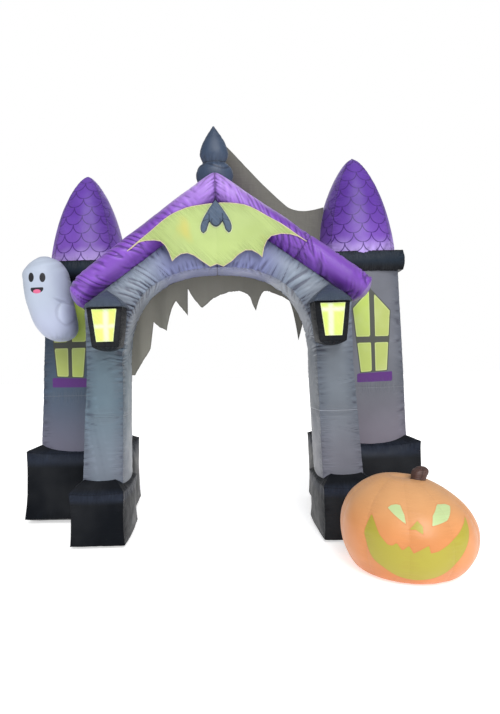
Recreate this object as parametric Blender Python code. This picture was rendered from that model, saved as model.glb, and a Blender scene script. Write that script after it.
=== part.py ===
"""Inflatable castle gateway: a grey arch under a purple gable roof, between two towers.

Lengths are in metres and +Z is up. X runs across the gateway and +X is its right side.
While it is modelled, Y is the depth behind the front feet's faces and Z = 0 is the ground.
At the end everything moves together, so that the origin is the middle of its footprint.
Every piece is an air-filled cloth chamber or a sheet, with the shape it has when blown up.
"""

import math

import bmesh
import bpy
from mathutils import Vector

# ---- driving dimensions ----
GAP = 0.0003  # between pieces that touch
GROWTH = 0.0006  # of a cutter's skin, so that the gap holds at its corners too
SIDES = {"left": -1, "right": 1}

# feet: the front ones carry the arch's legs and the rear ones the towers
FRONT_FOOT = {
    "centre": {"left": 0.892, "right": 0.892},
    "front": 0.0,
    "width": 0.385,
    "depth": 0.66,
    "edge": 0.38,  # height of the seam round the top
    "crown": 0.10,  # how far the top rises above it
    "lift": 0.022,  # height of the seam round the bottom
    "inset": 0.045,  # of the sole from that seam
    "ear": 0.065,  # how far the top's corners stand up
    "draw": 0.0,  # how far the top seam is drawn in
    "spread": 0.0,  # how much further the outer side stands out at the bottom
}
REAR_FOOT = {
    "centre": {"left": 1.18, "right": 1.205},
    "front": 0.66,
    "width": 0.82,
    "depth": 0.72,
    "edge": 0.565,
    "crown": 0.10,
    "lift": 0.045,
    "inset": 0.16,
    "ear": 0.03,
    "draw": 0.045,
    "spread": 0.025,
}
FOOT_PUFF, FOOT_PUFF_AT_EDGE, FOOT_PINCH = 0.022, 0.35, 0.010
FOOT_EAR_POWER, FOOT_ROUND_FROM = 3, 0.78
FOOT_LEVELS = (0.0, 0.22, 0.5, 0.78, 0.91, 1.0)

# towers, which lean in a little, the left one more
TOWER_DEPTH_CENTRE = 1.06
TOWER_BASE_X = {"left": 1.185, "right": 1.215}
TOWER_TOP_X = {"left": 1.122, "right": 1.205}
TOWER_HALF_BASE, TOWER_HALF_TOP, TOWER_PUFF = 0.312, 0.292, 0.036
TOWER_BOTTOM = 0.45
TOWER_LEVELS = (0.0, 0.35, 0.7, 1.0)

CORNICE_HALF, CORNICE_HEIGHT, CORNICE_PUFF = 0.328, 0.165, 0.022
CORNICE_BOTTOM = {"left": 1.982, "right": 1.997}
CORNICE_LEVELS = (0.0, 0.25, 0.5, 0.75, 1.0)

CONE_HALF, CONE_PUFF_SHARE = {"left": 0.246, "right": 0.259}, 0.35
CONE_TAPER, CONE_FULLNESS = 0.7, 0.46
CONE_SEAT = 0.8  # of the cornice's height
CONE_TOP = {"left": 2.938, "right": 3.030}
CONE_TOP_X = {"left": 1.111, "right": 1.210}
CONE_LEVELS = (0.0, 0.12, 0.28, 0.44, 0.60, 0.74, 0.85, 0.93, 0.975)

# arch
ARCH_FRONT, ARCH_DEPTH = 0.15, 0.45
LEG_LEVELS, FAN_STEPS = 3, 12
LEG_BOTTOM, LEG_BOTTOM_IN, LEG_BOTTOM_OUT = 0.38, 0.712, 1.035
SPRING_HEIGHT, SPRING_IN, SPRING_OUT = 1.25, 0.688, 0.982
OPENING_RISE, OPENING_POWER = 0.705, 2.5
ARCH_TOP = 2.44
ARCH_PUFF_ACROSS, ARCH_PUFF_DEEP = 0.030, 0.020

# gable roof: two tubes that meet at the ridge
ROOF_SLOPE = 0.72
RIDGE_HEIGHT = 2.55  # of the tubes' middle line
ROOF_REACH = {"left": 1.037, "right": 1.062}  # of the tubes' middle line from the ridge
ROOF_FRONT, ROOF_DEPTH, ROOF_THICK, ROOF_POWER = 0.04, 0.665, 0.25, 2.5
ROOF_END_DOME, RIDGE_PINCH = 0.060, 0.045
ROOF_TAPER_FROM, ROOF_TAPER = 0.88, 0.15  # how the last stretch narrows
ROOF_DROOP = {"left": 0.016, "right": -0.018}  # how far it sinks
ROOF_LEVELS = (0.0, 0.035, 0.10, 0.22, 0.58, 0.88, 0.96, 1.0)
RIDGE_PINCH_REACH, RIDGE_TURN_REACH = 0.06, 0.22  # shares of a tube's length

# finial
FINIAL_MIDDLE, FINIAL_FLATNESS, FINIAL_BOTTOM = 0.30, 0.62, 2.49

# lanterns
LANTERN_X, LANTERN_FRONT, LANTERN_DEPTH = 0.787, -0.055, 0.215
LANTERN_EAVES, LANTERN_FLOOR = 1.685, 1.412
LANTERN_HALF_TOP, LANTERN_HALF_FLOOR, LANTERN_PUFF = 0.124, 0.094, 0.016
LANTERN_APEX, LANTERN_ROOF_HALF, LANTERN_ROOF_SWELL, LANTERN_ROOF_PUFF = 1.815, 0.135, 0.45, 0.14
LANTERN_LEVELS = (0.0, 0.33, 0.67, 1.0)
LANTERN_ROOF_LEVELS = (0.0, 0.12, 0.45, 0.78, 0.9)
PANE_TOP, PANE_FLOOR, PANE_HALF_TOP, PANE_HALF_FLOOR = 1.672, 1.447, 0.086, 0.058
PANE_PROUD, PANE_COLUMNS, PANE_ROWS = 0.005, 5, 4

# pumpkin
PUMPKIN_X, PUMPKIN_MIDDLE, PUMPKIN_RIBS, PUMPKIN_RIB_STEPS = 1.143, -0.455, 10, 4
PUMPKIN_DEEP, PUMPKIN_LEAN, PUMPKIN_RIB_DEPTH = 1.15, -0.085, 0.016
PUMPKIN_TOP_SHIFT, PUMPKIN_SOLE_SHIFT, PUMPKIN_SOLE_POWER = -0.025, -0.022, 4

# sheets
SHEET = 0.003
WING_FRONT, WING_BACKSET, WING_LOWEST, WING_CURVE, WING_STEPS = 0.041, 0.083, 1.97, 1.3, 4
ROOM_REACH = 0.2  # of the cutters that press a chamber flat against a sheet
CLOTH_BACK, CLOTH_FOLD, CLOTH_FOLD_PITCH, CLOTH_STEPS = 0.703, 0.012, 0.21, 8

# ---- colours: red, green, blue and roughness ----
COLOURS = {
    "grey": (0.235, 0.262, 0.300, 0.55),
    "black": (0.012, 0.013, 0.017, 0.45),
    "purple": (0.165, 0.045, 0.405, 0.42),
    "slate": (0.060, 0.085, 0.125, 0.50),
    "lime": (0.620, 0.720, 0.160, 0.50),
    "pane": (0.560, 0.720, 0.085, 0.40),
    "white": (0.720, 0.740, 0.800, 0.50),
    "orange": (0.740, 0.310, 0.120, 0.45),
    "brown": (0.095, 0.040, 0.030, 0.55),
    "cloth": (0.125, 0.125, 0.118, 0.90),
}


def clear_scene():
    for thing in list(bpy.data.objects):
        bpy.data.objects.remove(thing, do_unlink=True)


# ---- shapes ----


def puffed_ring(half_width, half_depth, puff_width, puff_depth, steps=5):
    """A rectangle sewn of four panels and blown up: each side is a shallow arc between two seams."""
    ring = []
    for step in range(steps):
        across = 2 * step / steps - 1
        ring.append((across * half_width, -half_depth - puff_depth * (1 - across**2)))
    for step in range(steps):
        across = 2 * step / steps - 1
        ring.append((half_width + puff_width * (1 - across**2), across * half_depth))
    return ring + [(-u, -v) for u, v in ring]


def round_ring(half_width, half_depth, power=2.0, count=20):
    """An oval that grows squarer as its power rises."""
    ring = []
    for step in range(count):
        turn = 2 * math.pi * step / count
        cosine, sine = math.cos(turn), math.sin(turn)
        reach = (abs(cosine) ** power + abs(sine) ** power) ** (-1 / power)
        ring.append((half_width * reach * cosine, half_depth * reach * sine))
    return ring


def swell_at(share):
    """From 0 at either end of a piece to 1 at its middle."""
    return 4 * share * (1 - share)


def domed(ring, rise, steps):
    """Rings that close an end: each is smaller and further along rise, and the last is one point."""
    centre = sum(ring, Vector()) / len(ring)
    shares = [1 - step / steps for step in range(1, steps)]
    inner = [[centre + (p - centre) * s + rise * (1 - s * s) for p in ring] for s in shares]
    return inner, centre + rise


def chamber(name, rings, start_rise, end_rise, cap_steps=3):
    """One closed chamber through rings of points, closed by a dome at either end."""
    first_inner, first_point = domed(rings[0], start_rise, cap_steps)
    last_inner, last_point = domed(rings[-1], end_rise, cap_steps)
    shell = bmesh.new()
    rows = [[shell.verts.new(p) for p in ring] for ring in first_inner[::-1] + rings + last_inner]
    count = len(rows[0])
    for low, high in zip(rows, rows[1:]):
        for i in range(count):
            j = (i + 1) % count
            shell.faces.new((low[i], low[j], high[j], high[i]))
    for row, point in ((rows[0], first_point), (rows[-1], last_point)):
        pole = shell.verts.new(point)
        for i in range(count):
            shell.faces.new((row[i], row[(i + 1) % count], pole))
    return finished(name, shell)


def sheet(name, columns, rows, front_of, thickness_of):
    """A cloth sheet: columns of (x, top, bottom), laid on the depth front_of(x, z)."""
    shell = bmesh.new()
    faces = []
    for side in (0, 1):
        grid = []
        for x, top, bottom in columns:
            heights = [top + (bottom - top) * row / rows for row in range(rows + 1)]
            grid.append(
                [shell.verts.new((x, front_of(x, z) + side * thickness_of(x, z), z)) for z in heights]
            )
        faces.append(grid)
        for left, right in zip(grid, grid[1:]):
            for row in range(rows):
                shell.faces.new((left[row], left[row + 1], right[row + 1]))
                shell.faces.new((left[row], right[row + 1], right[row]))
    fronts, backs = [outline(grid) for grid in faces]
    for i in range(len(fronts)):
        j = (i + 1) % len(fronts)
        shell.faces.new((fronts[i], fronts[j], backs[j], backs[i]))
    return finished(name, shell)


def outline(grid):
    """The rim of a grid of points, in order."""
    rim = [column[0] for column in grid] + grid[-1][1:]
    return rim + [column[-1] for column in grid[-2::-1]] + grid[0][-2:0:-1]


def finished(name, shell):
    bmesh.ops.triangulate(shell, faces=shell.faces)
    bmesh.ops.recalc_face_normals(shell, faces=shell.faces)
    mesh = bpy.data.meshes.new(name)
    shell.to_mesh(mesh)
    shell.free()
    mesh.shade_smooth()
    mesh.set_sharp_from_angle(angle=math.radians(50))
    piece = bpy.data.objects.new(name, mesh)
    bpy.context.scene.collection.objects.link(piece)
    return piece


def as_cutter(piece):
    """Makes the piece a hidden cutter, with its skin moved out so that what it cuts keeps clear."""
    for vertex in piece.data.vertices:
        vertex.co += vertex.normal * GROWTH
    piece.hide_render = True
    piece.display_type = "WIRE"
    return piece


def grown(piece):
    """A cutter of the piece's own shape."""
    copy = bpy.data.objects.new(piece.name + "_room", piece.data.copy())
    bpy.context.scene.collection.objects.link(copy)
    return as_cutter(copy)


def trim(piece, *cutters):
    """Cuts the piece where it presses on others."""
    for cutter in cutters:
        cut = piece.modifiers.new("rests on " + cutter.name, "BOOLEAN")
        cut.operation = "DIFFERENCE"
        cut.solver = "EXACT"
        cut.object = cutter


def painted(piece, colour):
    """Gives the piece its own material."""
    red, green, blue, roughness = COLOURS[colour]
    material = bpy.data.materials.new(piece.name + "_" + colour)
    material.use_nodes = True
    shader = material.node_tree.nodes["Principled BSDF"]
    shader.inputs["Base Color"].default_value = (red, green, blue, 1)
    shader.inputs["Roughness"].default_value = roughness
    shader.inputs["Metallic"].default_value = 0
    piece.data.materials.append(material)
    return piece


def level_ring(ring, x, y, z):
    return [Vector((x + u, y + v, z)) for u, v in ring]


def between(low, high, share):
    return low + (high - low) * share


def curve_through(points, x):
    """The height at x of the smooth curve through points, which are (x, height) from left to right."""
    last = len(points) - 1
    i = max([k for k in range(last) if points[k][0] <= x], default=0)
    slopes = []
    for k in (i, i + 1):
        before, after = points[max(k - 1, 0)], points[min(k + 1, last)]
        slopes.append((after[1] - before[1]) / (after[0] - before[0]))
    (x0, z0), (x1, z1) = points[i], points[i + 1]
    step = x1 - x0
    t = (x - x0) / step
    rise = (2 * t**3 - 3 * t**2 + 1) * z0 + (3 * t**2 - 2 * t**3) * z1
    return rise + (t**3 - 2 * t**2 + t) * step * slopes[0] + (t**3 - t**2) * step * slopes[1]


# ---- feet ----


def foot_ring(foot, share):
    """A block's outline at a share of its height: drawn in half way up, and rounded back near the top."""
    swell = swell_at(share)
    pinch = FOOT_PINCH * swell
    puff = FOOT_PUFF * between(FOOT_PUFF_AT_EDGE, 1, swell) + pinch
    rounded = max(0, share - FOOT_ROUND_FROM) / (1 - FOOT_ROUND_FROM)
    puff -= foot["draw"] * rounded**2
    half_width = (foot["width"] + foot["spread"] * (1 - share)) / 2 - pinch
    return puffed_ring(half_width, foot["depth"] / 2 - pinch, puff, puff, steps=6)


def make_foot(name, foot, side, which):
    """A block blown up: its sides and top puff out, and it stands on a sole smaller than itself."""
    half_width, half_depth = foot["width"] / 2, foot["depth"] / 2
    y = foot["front"] + half_depth
    x = side * (foot["centre"][which] + foot["spread"] / 2)
    inset = 1 - foot["inset"] / half_width
    rings = [level_ring([(u * inset, v * inset) for u, v in foot_ring(foot, 0)], x, y, 0)]
    for share in FOOT_LEVELS:
        x = side * (foot["centre"][which] + foot["spread"] * (1 - share) / 2)
        ring = []
        for u, v in foot_ring(foot, share):
            sideways = min(1, abs(u) / half_width)
            lift = foot["ear"] * share**FOOT_EAR_POWER * sideways**FOOT_EAR_POWER
            ring.append(Vector((x + u, y + v, between(foot["lift"], foot["edge"], share) + lift)))
        rings.append(ring)
    return painted(chamber(name, rings, Vector(), Vector((0, 0, foot["crown"])), cap_steps=3), "black")


# ---- towers ----


def make_tower(name, side, which):
    """Four straight panels that taper upwards, from inside the foot to inside the cornice."""
    rings = []
    top = CORNICE_BOTTOM[which] + CORNICE_HEIGHT / 2
    for share in TOWER_LEVELS:
        half = between(TOWER_HALF_BASE, TOWER_HALF_TOP, share)
        x = side * between(TOWER_BASE_X[which], TOWER_TOP_X[which], share)
        ring = puffed_ring(half, half, TOWER_PUFF, TOWER_PUFF)
        rings.append(level_ring(ring, x, TOWER_DEPTH_CENTRE, between(TOWER_BOTTOM, top, share)))
    return painted(chamber(name, rings, Vector(), Vector(), cap_steps=1), "grey")


def make_cornice(name, side, which):
    """A square band round the tower's top, as round as a tube along its outside."""
    rings = []
    for share in CORNICE_LEVELS:
        swell = swell_at(share)
        half = CORNICE_HALF + CORNICE_PUFF * swell / 2
        puff = CORNICE_PUFF * (1 + swell) / 2
        z = CORNICE_BOTTOM[which] + CORNICE_HEIGHT * share
        ring = puffed_ring(half, half, puff, puff)
        rings.append(level_ring(ring, side * TOWER_TOP_X[which], TOWER_DEPTH_CENTRE, z))
    rise = Vector((0, 0, CORNICE_PUFF / 2))
    return painted(chamber(name, rings, -rise, rise, cap_steps=2), "black")


def make_cone(name, side, which):
    """A bullet of four panels that swell between their seams."""
    bottom = CORNICE_BOTTOM[which] + CORNICE_HEIGHT * CONE_SEAT
    top = CONE_TOP[which]
    rings = []
    for share in CONE_LEVELS:
        half = CONE_HALF[which] * (1 - share) ** CONE_TAPER * (1 + CONE_FULLNESS * share)
        puff = CONE_PUFF_SHARE * half
        x = side * between(TOWER_TOP_X[which], CONE_TOP_X[which], share)
        ring = puffed_ring(half, half, puff, puff)
        rings.append(level_ring(ring, x, TOWER_DEPTH_CENTRE, between(bottom, top, share)))
    tip = Vector((0, 0, (top - bottom) * (1 - CONE_LEVELS[-1])))
    return painted(chamber(name, rings, Vector(), tip, cap_steps=2), "purple")


# ---- arch ----


def arch_station(inner, outer):
    """The arch's section between a point of its opening and a point of its outline, (x, z) each."""
    middle = Vector(((inner[0] + outer[0]) / 2, ARCH_FRONT + ARCH_DEPTH / 2, (inner[1] + outer[1]) / 2))
    across = Vector((outer[0] - inner[0], 0, outer[1] - inner[1]))
    ring = puffed_ring(
        across.length / 2 - ARCH_PUFF_ACROSS / 2, ARCH_DEPTH / 2, ARCH_PUFF_ACROSS / 2, ARCH_PUFF_DEEP
    )
    across.normalize()
    return [middle + across * u + Vector((0, v, 0)) for u, v in ring]


def make_arch():
    """Two legs that spread towards the ground, and a round opening under a gable-shaped outline."""
    stations = []
    for level in range(LEG_LEVELS):
        share = level / LEG_LEVELS
        z = between(LEG_BOTTOM, SPRING_HEIGHT, share)
        inner = between(LEG_BOTTOM_IN, SPRING_IN, share)
        outer = between(LEG_BOTTOM_OUT, SPRING_OUT, share)
        stations.append(((inner, z), (outer, z)))
    for step in range(FAN_STEPS + 1):
        turn = math.pi / 2 * step / FAN_STEPS
        cosine, sine = math.cos(turn), math.sin(turn)
        reach = (cosine / SPRING_IN) ** OPENING_POWER + (sine / OPENING_RISE) ** OPENING_POWER
        inner = reach ** (-1 / OPENING_POWER)
        gable = (ARCH_TOP - SPRING_HEIGHT) / (sine + ROOF_SLOPE * cosine)
        outer = SPRING_OUT / cosine if SPRING_OUT < gable * cosine else gable
        stations.append(
            (
                (inner * cosine, SPRING_HEIGHT + inner * sine),
                (outer * cosine, SPRING_HEIGHT + outer * sine),
            )
        )
    mirrored = [((-a, b), (-c, d)) for (a, b), (c, d) in stations[-2::-1]]
    rings = [arch_station(inner, outer) for inner, outer in stations + mirrored]
    return painted(chamber("arch", rings, Vector(), Vector(), cap_steps=1), "grey")


# ---- gable roof ----


def make_roof():
    """Tubes that slope down from a seam at the ridge, with a rounded end each."""
    length = math.hypot(1, ROOF_SLOPE)
    half_thick, half_depth = ROOF_THICK / 2, ROOF_DEPTH / 2
    y = ROOF_FRONT + half_depth
    ring = round_ring(half_thick, half_depth, ROOF_POWER, count=22)
    rings = []
    for which in ("right", "left"):
        side = SIDES[which]
        side_rings = []
        for share in ROOF_LEVELS:
            x = ROOF_REACH[which] * share
            z = RIDGE_HEIGHT - ROOF_SLOPE * x
            # At the ridge the section stands upright, and it turns square to the tube beside it.
            turned = min(1, share / RIDGE_TURN_REACH)
            up = Vector((side * ROOF_SLOPE * turned / length, 0, between(length, 1 / length, turned)))
            pinch = 1 - RIDGE_PINCH * max(0, 1 - share / RIDGE_PINCH_REACH)
            ending = max(0, share - ROOF_TAPER_FROM) / (1 - ROOF_TAPER_FROM)
            scale = pinch * (1 - ROOF_TAPER * ending**2)
            middle = Vector((side * x, y, z)) - up * ROOF_DROOP[which] * ending**2
            side_rings.append([middle + up * u * scale + Vector((0, v * scale, 0)) for u, v in ring])
        rings.append(side_rings)
    rows = rings[0][::-1] + rings[1][1:]
    end = Vector((1, 0, -ROOF_SLOPE)) / length * ROOF_END_DOME
    mirrored_end = Vector((-end.x, 0, end.z))
    return painted(chamber("gable_roof", rows, end, mirrored_end, cap_steps=2), "purple")


# ---- finial ----

FINIAL_ROWS = (  # height, half width
    (FINIAL_BOTTOM, 0.110),
    (2.600, 0.126),
    (2.680, 0.140),
    (2.718, 0.134),
    (2.748, 0.116),
    (2.774, 0.088),
    (2.800, 0.098),
    (2.845, 0.108),
    (2.920, 0.086),
    (2.968, 0.060),
    (3.018, 0.028),
    (3.040, 0.012),
)
FINIAL_TIP = 3.052


def make_finial():
    """Two swellings and a point, flattened from front to back."""
    rings = []
    for z, half in FINIAL_ROWS:
        ring = round_ring(half, half * FINIAL_FLATNESS, count=18)
        rings.append(level_ring(ring, 0, FINIAL_MIDDLE, z))
    rise = Vector((0, 0, FINIAL_TIP - FINIAL_ROWS[-1][0]))
    return painted(chamber("finial", rings, Vector(), rise, cap_steps=1), "slate")


# ---- bat wings ----

WING_ROWS = (  # x, top edge, bottom edge
    (-0.634, 2.088, 2.083),
    (-0.600, 2.115, 2.104),
    (-0.550, 2.156, 2.143),
    (-0.500, 2.195, 2.155),
    (-0.440, 2.243, 2.157),
    (-0.395, 2.281, 2.149),
    (-0.365, 2.304, 2.120),
    (-0.342, 2.320, 2.076),
    (-0.320, 2.334, 2.010),
    (-0.295, 2.347, 2.034),
    (-0.255, 2.364, 2.060),
    (-0.210, 2.381, 2.066),
    (-0.165, 2.392, 2.050),
    (-0.110, 2.400, 2.011),
    (-0.050, 2.408, 1.970),
    (0.000, 2.412, 1.989),
    (0.046, 2.413, 1.969),
    (0.105, 2.409, 2.003),
    (0.155, 2.402, 2.048),
    (0.205, 2.392, 2.075),
    (0.250, 2.374, 2.073),
    (0.295, 2.350, 2.047),
    (0.323, 2.333, 2.020),
    (0.337, 2.324, 2.090),
    (0.358, 2.311, 2.136),
    (0.390, 2.292, 2.166),
    (0.460, 2.252, 2.179),
    (0.525, 2.205, 2.172),
    (0.575, 2.166, 2.155),
    (0.637, 2.122, 2.117),
)


def wing_front(x, z):
    """The panel's depth: it leaves the roof's tubes at their middle and leans back to the arch."""
    middle = RIDGE_HEIGHT - ROOF_SLOPE * abs(x)
    below = max(0, middle - z) / (RIDGE_HEIGHT - WING_LOWEST)
    return WING_FRONT + WING_BACKSET * below**WING_CURVE


def make_wings():
    return painted(sheet("bat_wings", WING_ROWS, WING_STEPS, wing_front, lambda x, z: SHEET), "lime")


def make_wing_room():
    """A cutter in front of the wings' backs: the chambers behind are pressed flat there."""
    room = sheet(
        "bat_wings_room",
        WING_ROWS,
        WING_STEPS,
        lambda x, z: wing_front(x, z) - ROOM_REACH,
        lambda x, z: ROOM_REACH + SHEET,
    )
    return as_cutter(room)


BAT_ROWS = (  # distance from the middle, top edge, bottom edge
    (0.000, 2.434, 2.247),
    (0.016, 2.414, 2.250),
    (0.032, 2.392, 2.262),
    (0.046, 2.373, 2.284),
    (0.056, 2.358, 2.258),
    (0.068, 2.339, 2.222),
    (0.088, 2.307, 2.202),
    (0.103, 2.275, 2.211),
    (0.110, 2.252, 2.228),
)
BAT_PADDING, BAT_EDGE = 0.022, 0.003


def bat_thickness(x, z):
    """Padding that is thickest in the middle of the body and thin along its seam."""
    place = min(len(BAT_ROWS) - 2, sum(1 for row in BAT_ROWS[1:] if row[0] < abs(x)))
    (x0, top0, bottom0), (x1, top1, bottom1) = BAT_ROWS[place], BAT_ROWS[place + 1]
    share = min(1, (abs(x) - x0) / (x1 - x0))
    top, bottom = between(top0, top1, share), between(bottom0, bottom1, share)
    inward = max(0, (top - z) * (z - bottom)) / ((top - bottom) / 2) ** 2
    sideways = 1 - (abs(x) / BAT_ROWS[-1][0]) ** 2
    return BAT_EDGE + BAT_PADDING * math.sqrt(inward * sideways)


def make_bat_body():
    columns = [(-x, top, bottom) for x, top, bottom in BAT_ROWS[:0:-1]] + list(BAT_ROWS)
    body = sheet(
        "bat_body",
        columns,
        WING_STEPS,
        lambda x, z: wing_front(x, z) - GAP - bat_thickness(x, z),
        bat_thickness,
    )
    return painted(body, "slate")


# ---- lanterns ----


def make_lantern(side, which):
    """A body that narrows downwards, a four-sided roof on it and a pane sewn on its front."""
    x, y = side * LANTERN_X, LANTERN_FRONT + LANTERN_DEPTH / 2
    body_rings = []
    for share in LANTERN_LEVELS:
        half = between(LANTERN_HALF_FLOOR, LANTERN_HALF_TOP, share)
        puff = LANTERN_PUFF * (1 + swell_at(share)) / 2
        ring = puffed_ring(half, LANTERN_DEPTH / 2, puff, puff, steps=4)
        body_rings.append(level_ring(ring, x, y, between(LANTERN_FLOOR, LANTERN_EAVES, share)))
    floor = Vector((0, 0, -LANTERN_PUFF * 2))
    body = chamber("lantern_" + which, body_rings, floor, Vector(), cap_steps=2)

    roof_rings = []
    height = LANTERN_APEX - LANTERN_EAVES
    for share in LANTERN_ROOF_LEVELS:
        half = LANTERN_ROOF_HALF * (1 - share) * (1 + LANTERN_ROOF_SWELL * share)
        puff = LANTERN_ROOF_PUFF * half
        ring = puffed_ring(half, half, puff, puff, steps=4)
        z = LANTERN_EAVES + 2 * GAP + height * share
        roof_rings.append(level_ring(ring, x, y, z))
    tip = Vector((0, 0, height * (1 - LANTERN_ROOF_LEVELS[-1])))
    roof = chamber("lantern_roof_" + which, roof_rings, Vector(), tip, cap_steps=1)

    pane_ends = []
    for column in range(PANE_COLUMNS + 1):
        across = 2 * column / PANE_COLUMNS - 1
        pane_ends.append((x + across * PANE_HALF_TOP, x + across * PANE_HALF_FLOOR))
    pane = make_pane("lantern_pane_" + which, pane_ends)
    return painted(body, "black"), painted(roof, "slate"), painted(pane, "pane")


def make_pane(name, ends):
    """A four-cornered panel that puffs out a little; ends are the x of each column's top and floor."""
    shell = bmesh.new()
    sides = []
    for depth in (0, 1):
        grid = []
        for column, (top_x, floor_x) in enumerate(ends):
            points = []
            for row in range(PANE_ROWS + 1):
                share = row / PANE_ROWS
                swell = swell_at(share) * swell_at(column / PANE_COLUMNS)
                proud = LANTERN_PUFF + PANE_PROUD * (1 + swell)
                x, z = between(top_x, floor_x, share), between(PANE_TOP, PANE_FLOOR, share)
                y = LANTERN_FRONT - proud if depth == 0 else LANTERN_FRONT + LANTERN_PUFF
                points.append(shell.verts.new((x, y, z)))
            grid.append(points)
        sides.append(grid)
        for left, right in zip(grid, grid[1:]):
            for row in range(PANE_ROWS):
                shell.faces.new((left[row], left[row + 1], right[row + 1], right[row]))
    fronts, backs = [outline(grid) for grid in sides]
    for i in range(len(fronts)):
        j = (i + 1) % len(fronts)
        shell.faces.new((fronts[i], fronts[j], backs[j], backs[i]))
    return finished(name, shell)


# ---- ghost ----

GHOST_ROWS = (  # height, left side, right side
    (1.492, -1.325, -1.170),
    (1.512, -1.358, -1.141),
    (1.560, -1.402, -1.117),
    (1.622, -1.444, -1.116),
    (1.702, -1.475, -1.130),
    (1.790, -1.500, -1.146),
    (1.875, -1.513, -1.156),
    (1.950, -1.520, -1.166),
    (2.015, -1.524, -1.180),
    (2.070, -1.486, -1.206),
    (2.115, -1.437, -1.250),
    (2.138, -1.398, -1.305),
)
GHOST_MIDDLE, GHOST_HALF_DEPTH, GHOST_TOP, GHOST_HEM = 0.53, 0.215, 2.147, 1.474
GHOST_DEPTH_POWER, GHOST_ROUNDNESS = 0.8, 2.2


def make_ghost():
    """A sack that narrows towards its hem and leans on the left tower."""
    widest = max(right - left for _, left, right in GHOST_ROWS)
    rings = []
    for z, left, right in GHOST_ROWS:
        half = (right - left) / 2
        half_depth = GHOST_HALF_DEPTH * (2 * half / widest) ** GHOST_DEPTH_POWER
        ring = round_ring(half, half_depth, GHOST_ROUNDNESS)
        rings.append(level_ring(ring, (left + right) / 2, GHOST_MIDDLE, z))
    top = Vector((0, 0, GHOST_TOP - GHOST_ROWS[-1][0]))
    hem = Vector((0, 0, GHOST_HEM - GHOST_ROWS[0][0]))
    return painted(chamber("ghost", rings, hem, top, cap_steps=2), "white")


# ---- pumpkin ----

PUMPKIN_ROWS = (  # height, radius
    (0.000, 0.278),
    (0.020, 0.322),
    (0.062, 0.357),
    (0.135, 0.392),
    (0.225, 0.405),
    (0.310, 0.393),
    (0.392, 0.352),
    (0.458, 0.290),
    (0.508, 0.218),
    (0.540, 0.140),
    (0.547, 0.075),
)
PUMPKIN_HOLLOW = 0.010


def make_pumpkin():
    """Round gores between drawn-in seams, flat where it stands, its crown tipped to one side."""
    top = PUMPKIN_ROWS[-1][0]
    steps = PUMPKIN_RIBS * PUMPKIN_RIB_STEPS
    rings = []
    for z, radius in PUMPKIN_ROWS:
        share = z / top
        middle = PUMPKIN_X + PUMPKIN_TOP_SHIFT * share**2
        middle += PUMPKIN_SOLE_SHIFT * (1 - share) ** PUMPKIN_SOLE_POWER
        ring = []
        for step in range(steps):
            turn = 2 * math.pi * step / steps
            rib = abs(math.sin(turn * PUMPKIN_RIBS / 2))
            reach = radius * (1 - PUMPKIN_RIB_DEPTH * (1 - rib) * math.sqrt(share))
            u, v = reach * math.cos(turn), reach * math.sin(turn) * PUMPKIN_DEEP
            ring.append(Vector((middle + u, PUMPKIN_MIDDLE + v, z + PUMPKIN_LEAN * u * share)))
        rings.append(ring)
    body = chamber("pumpkin", rings, Vector(), Vector((0, 0, -PUMPKIN_HOLLOW)), cap_steps=2)
    return painted(body, "orange")


STEM_ROWS = (  # height, radius, sideways shift, shift towards the back
    (0.500, 0.056, -0.004, 0.000),
    (0.528, 0.047, 0.000, 0.002),
    (0.550, 0.046, 0.008, 0.006),
    (0.573, 0.051, 0.017, 0.012),
    (0.593, 0.047, 0.025, 0.017),
    (0.606, 0.032, 0.030, 0.020),
)
STEM_X, STEM_MIDDLE, STEM_DOME, STEM_ROUNDNESS = 1.191, -0.505, 0.007, 2.2


def make_stem():
    """A short stub that bends to one side."""
    rings = []
    for z, radius, shift, back in STEM_ROWS:
        ring = round_ring(radius, radius, STEM_ROUNDNESS, count=14)
        rings.append(level_ring(ring, STEM_X + shift, STEM_MIDDLE + back, z))
    dome = Vector((0, 0, STEM_DOME))
    return painted(chamber("pumpkin_stem", rings, Vector(), dome, cap_steps=1), "brown")


# ---- tattered cloth ----

CLOTH_TOP = (  # x, height of the hung edge, from the left leg over the finial to the right cone
    (-0.820, 1.800),
    (-0.600, 2.010),
    (-0.300, 2.235),
    (-0.060, 2.410),
    (0.000, 2.720),
    (0.045, 2.990),
    (0.098, 2.955),
    (0.200, 2.867),
    (0.297, 2.783),
    (0.400, 2.697),
    (0.508, 2.616),
    (0.614, 2.549),
    (0.719, 2.538),
    (0.823, 2.558),
    (0.940, 2.600),
)
CLOTH_RAGS = (  # x, height of the torn edge, how far it bows up before the next row, steps to that row
    (-0.820, 1.090, 0.030, 2),
    (-0.700, 1.190, 0.000, 2),
    (-0.566, 1.400, 0.000, 1),
    (-0.535, 1.622, -0.010, 2),
    (-0.428, 1.545, 0.040, 2),
    (-0.346, 1.790, 0.000, 2),
    (-0.252, 1.664, 0.000, 1),
    (-0.246, 1.884, -0.014, 2),
    (-0.134, 1.726, 0.026, 6),
    (0.116, 1.850, 0.022, 3),
    (0.263, 1.806, -0.010, 1),
    (0.309, 1.688, 0.040, 2),
    (0.387, 1.852, 0.012, 3),
    (0.582, 1.765, 0.045, 2),
    (0.652, 1.438, 0.000, 1),
    (0.690, 1.560, 0.000, 2),
    (0.830, 2.215, 0.000, 2),
    (0.940, 2.240, 0.000, 0),
)
CLOTH_HUNG_FRONT, CLOTH_HUNG_SPREAD, CLOTH_MOST_LEAN = 0.393, 0.66, 0.36
CLOTH_TURN_X, CLOTH_TURN = 0.55, 2.0
CLOTH_FREE_FROM, CLOTH_FREE_OVER = 2.1, 0.4  # height below which the folds open, and over how much
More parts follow.
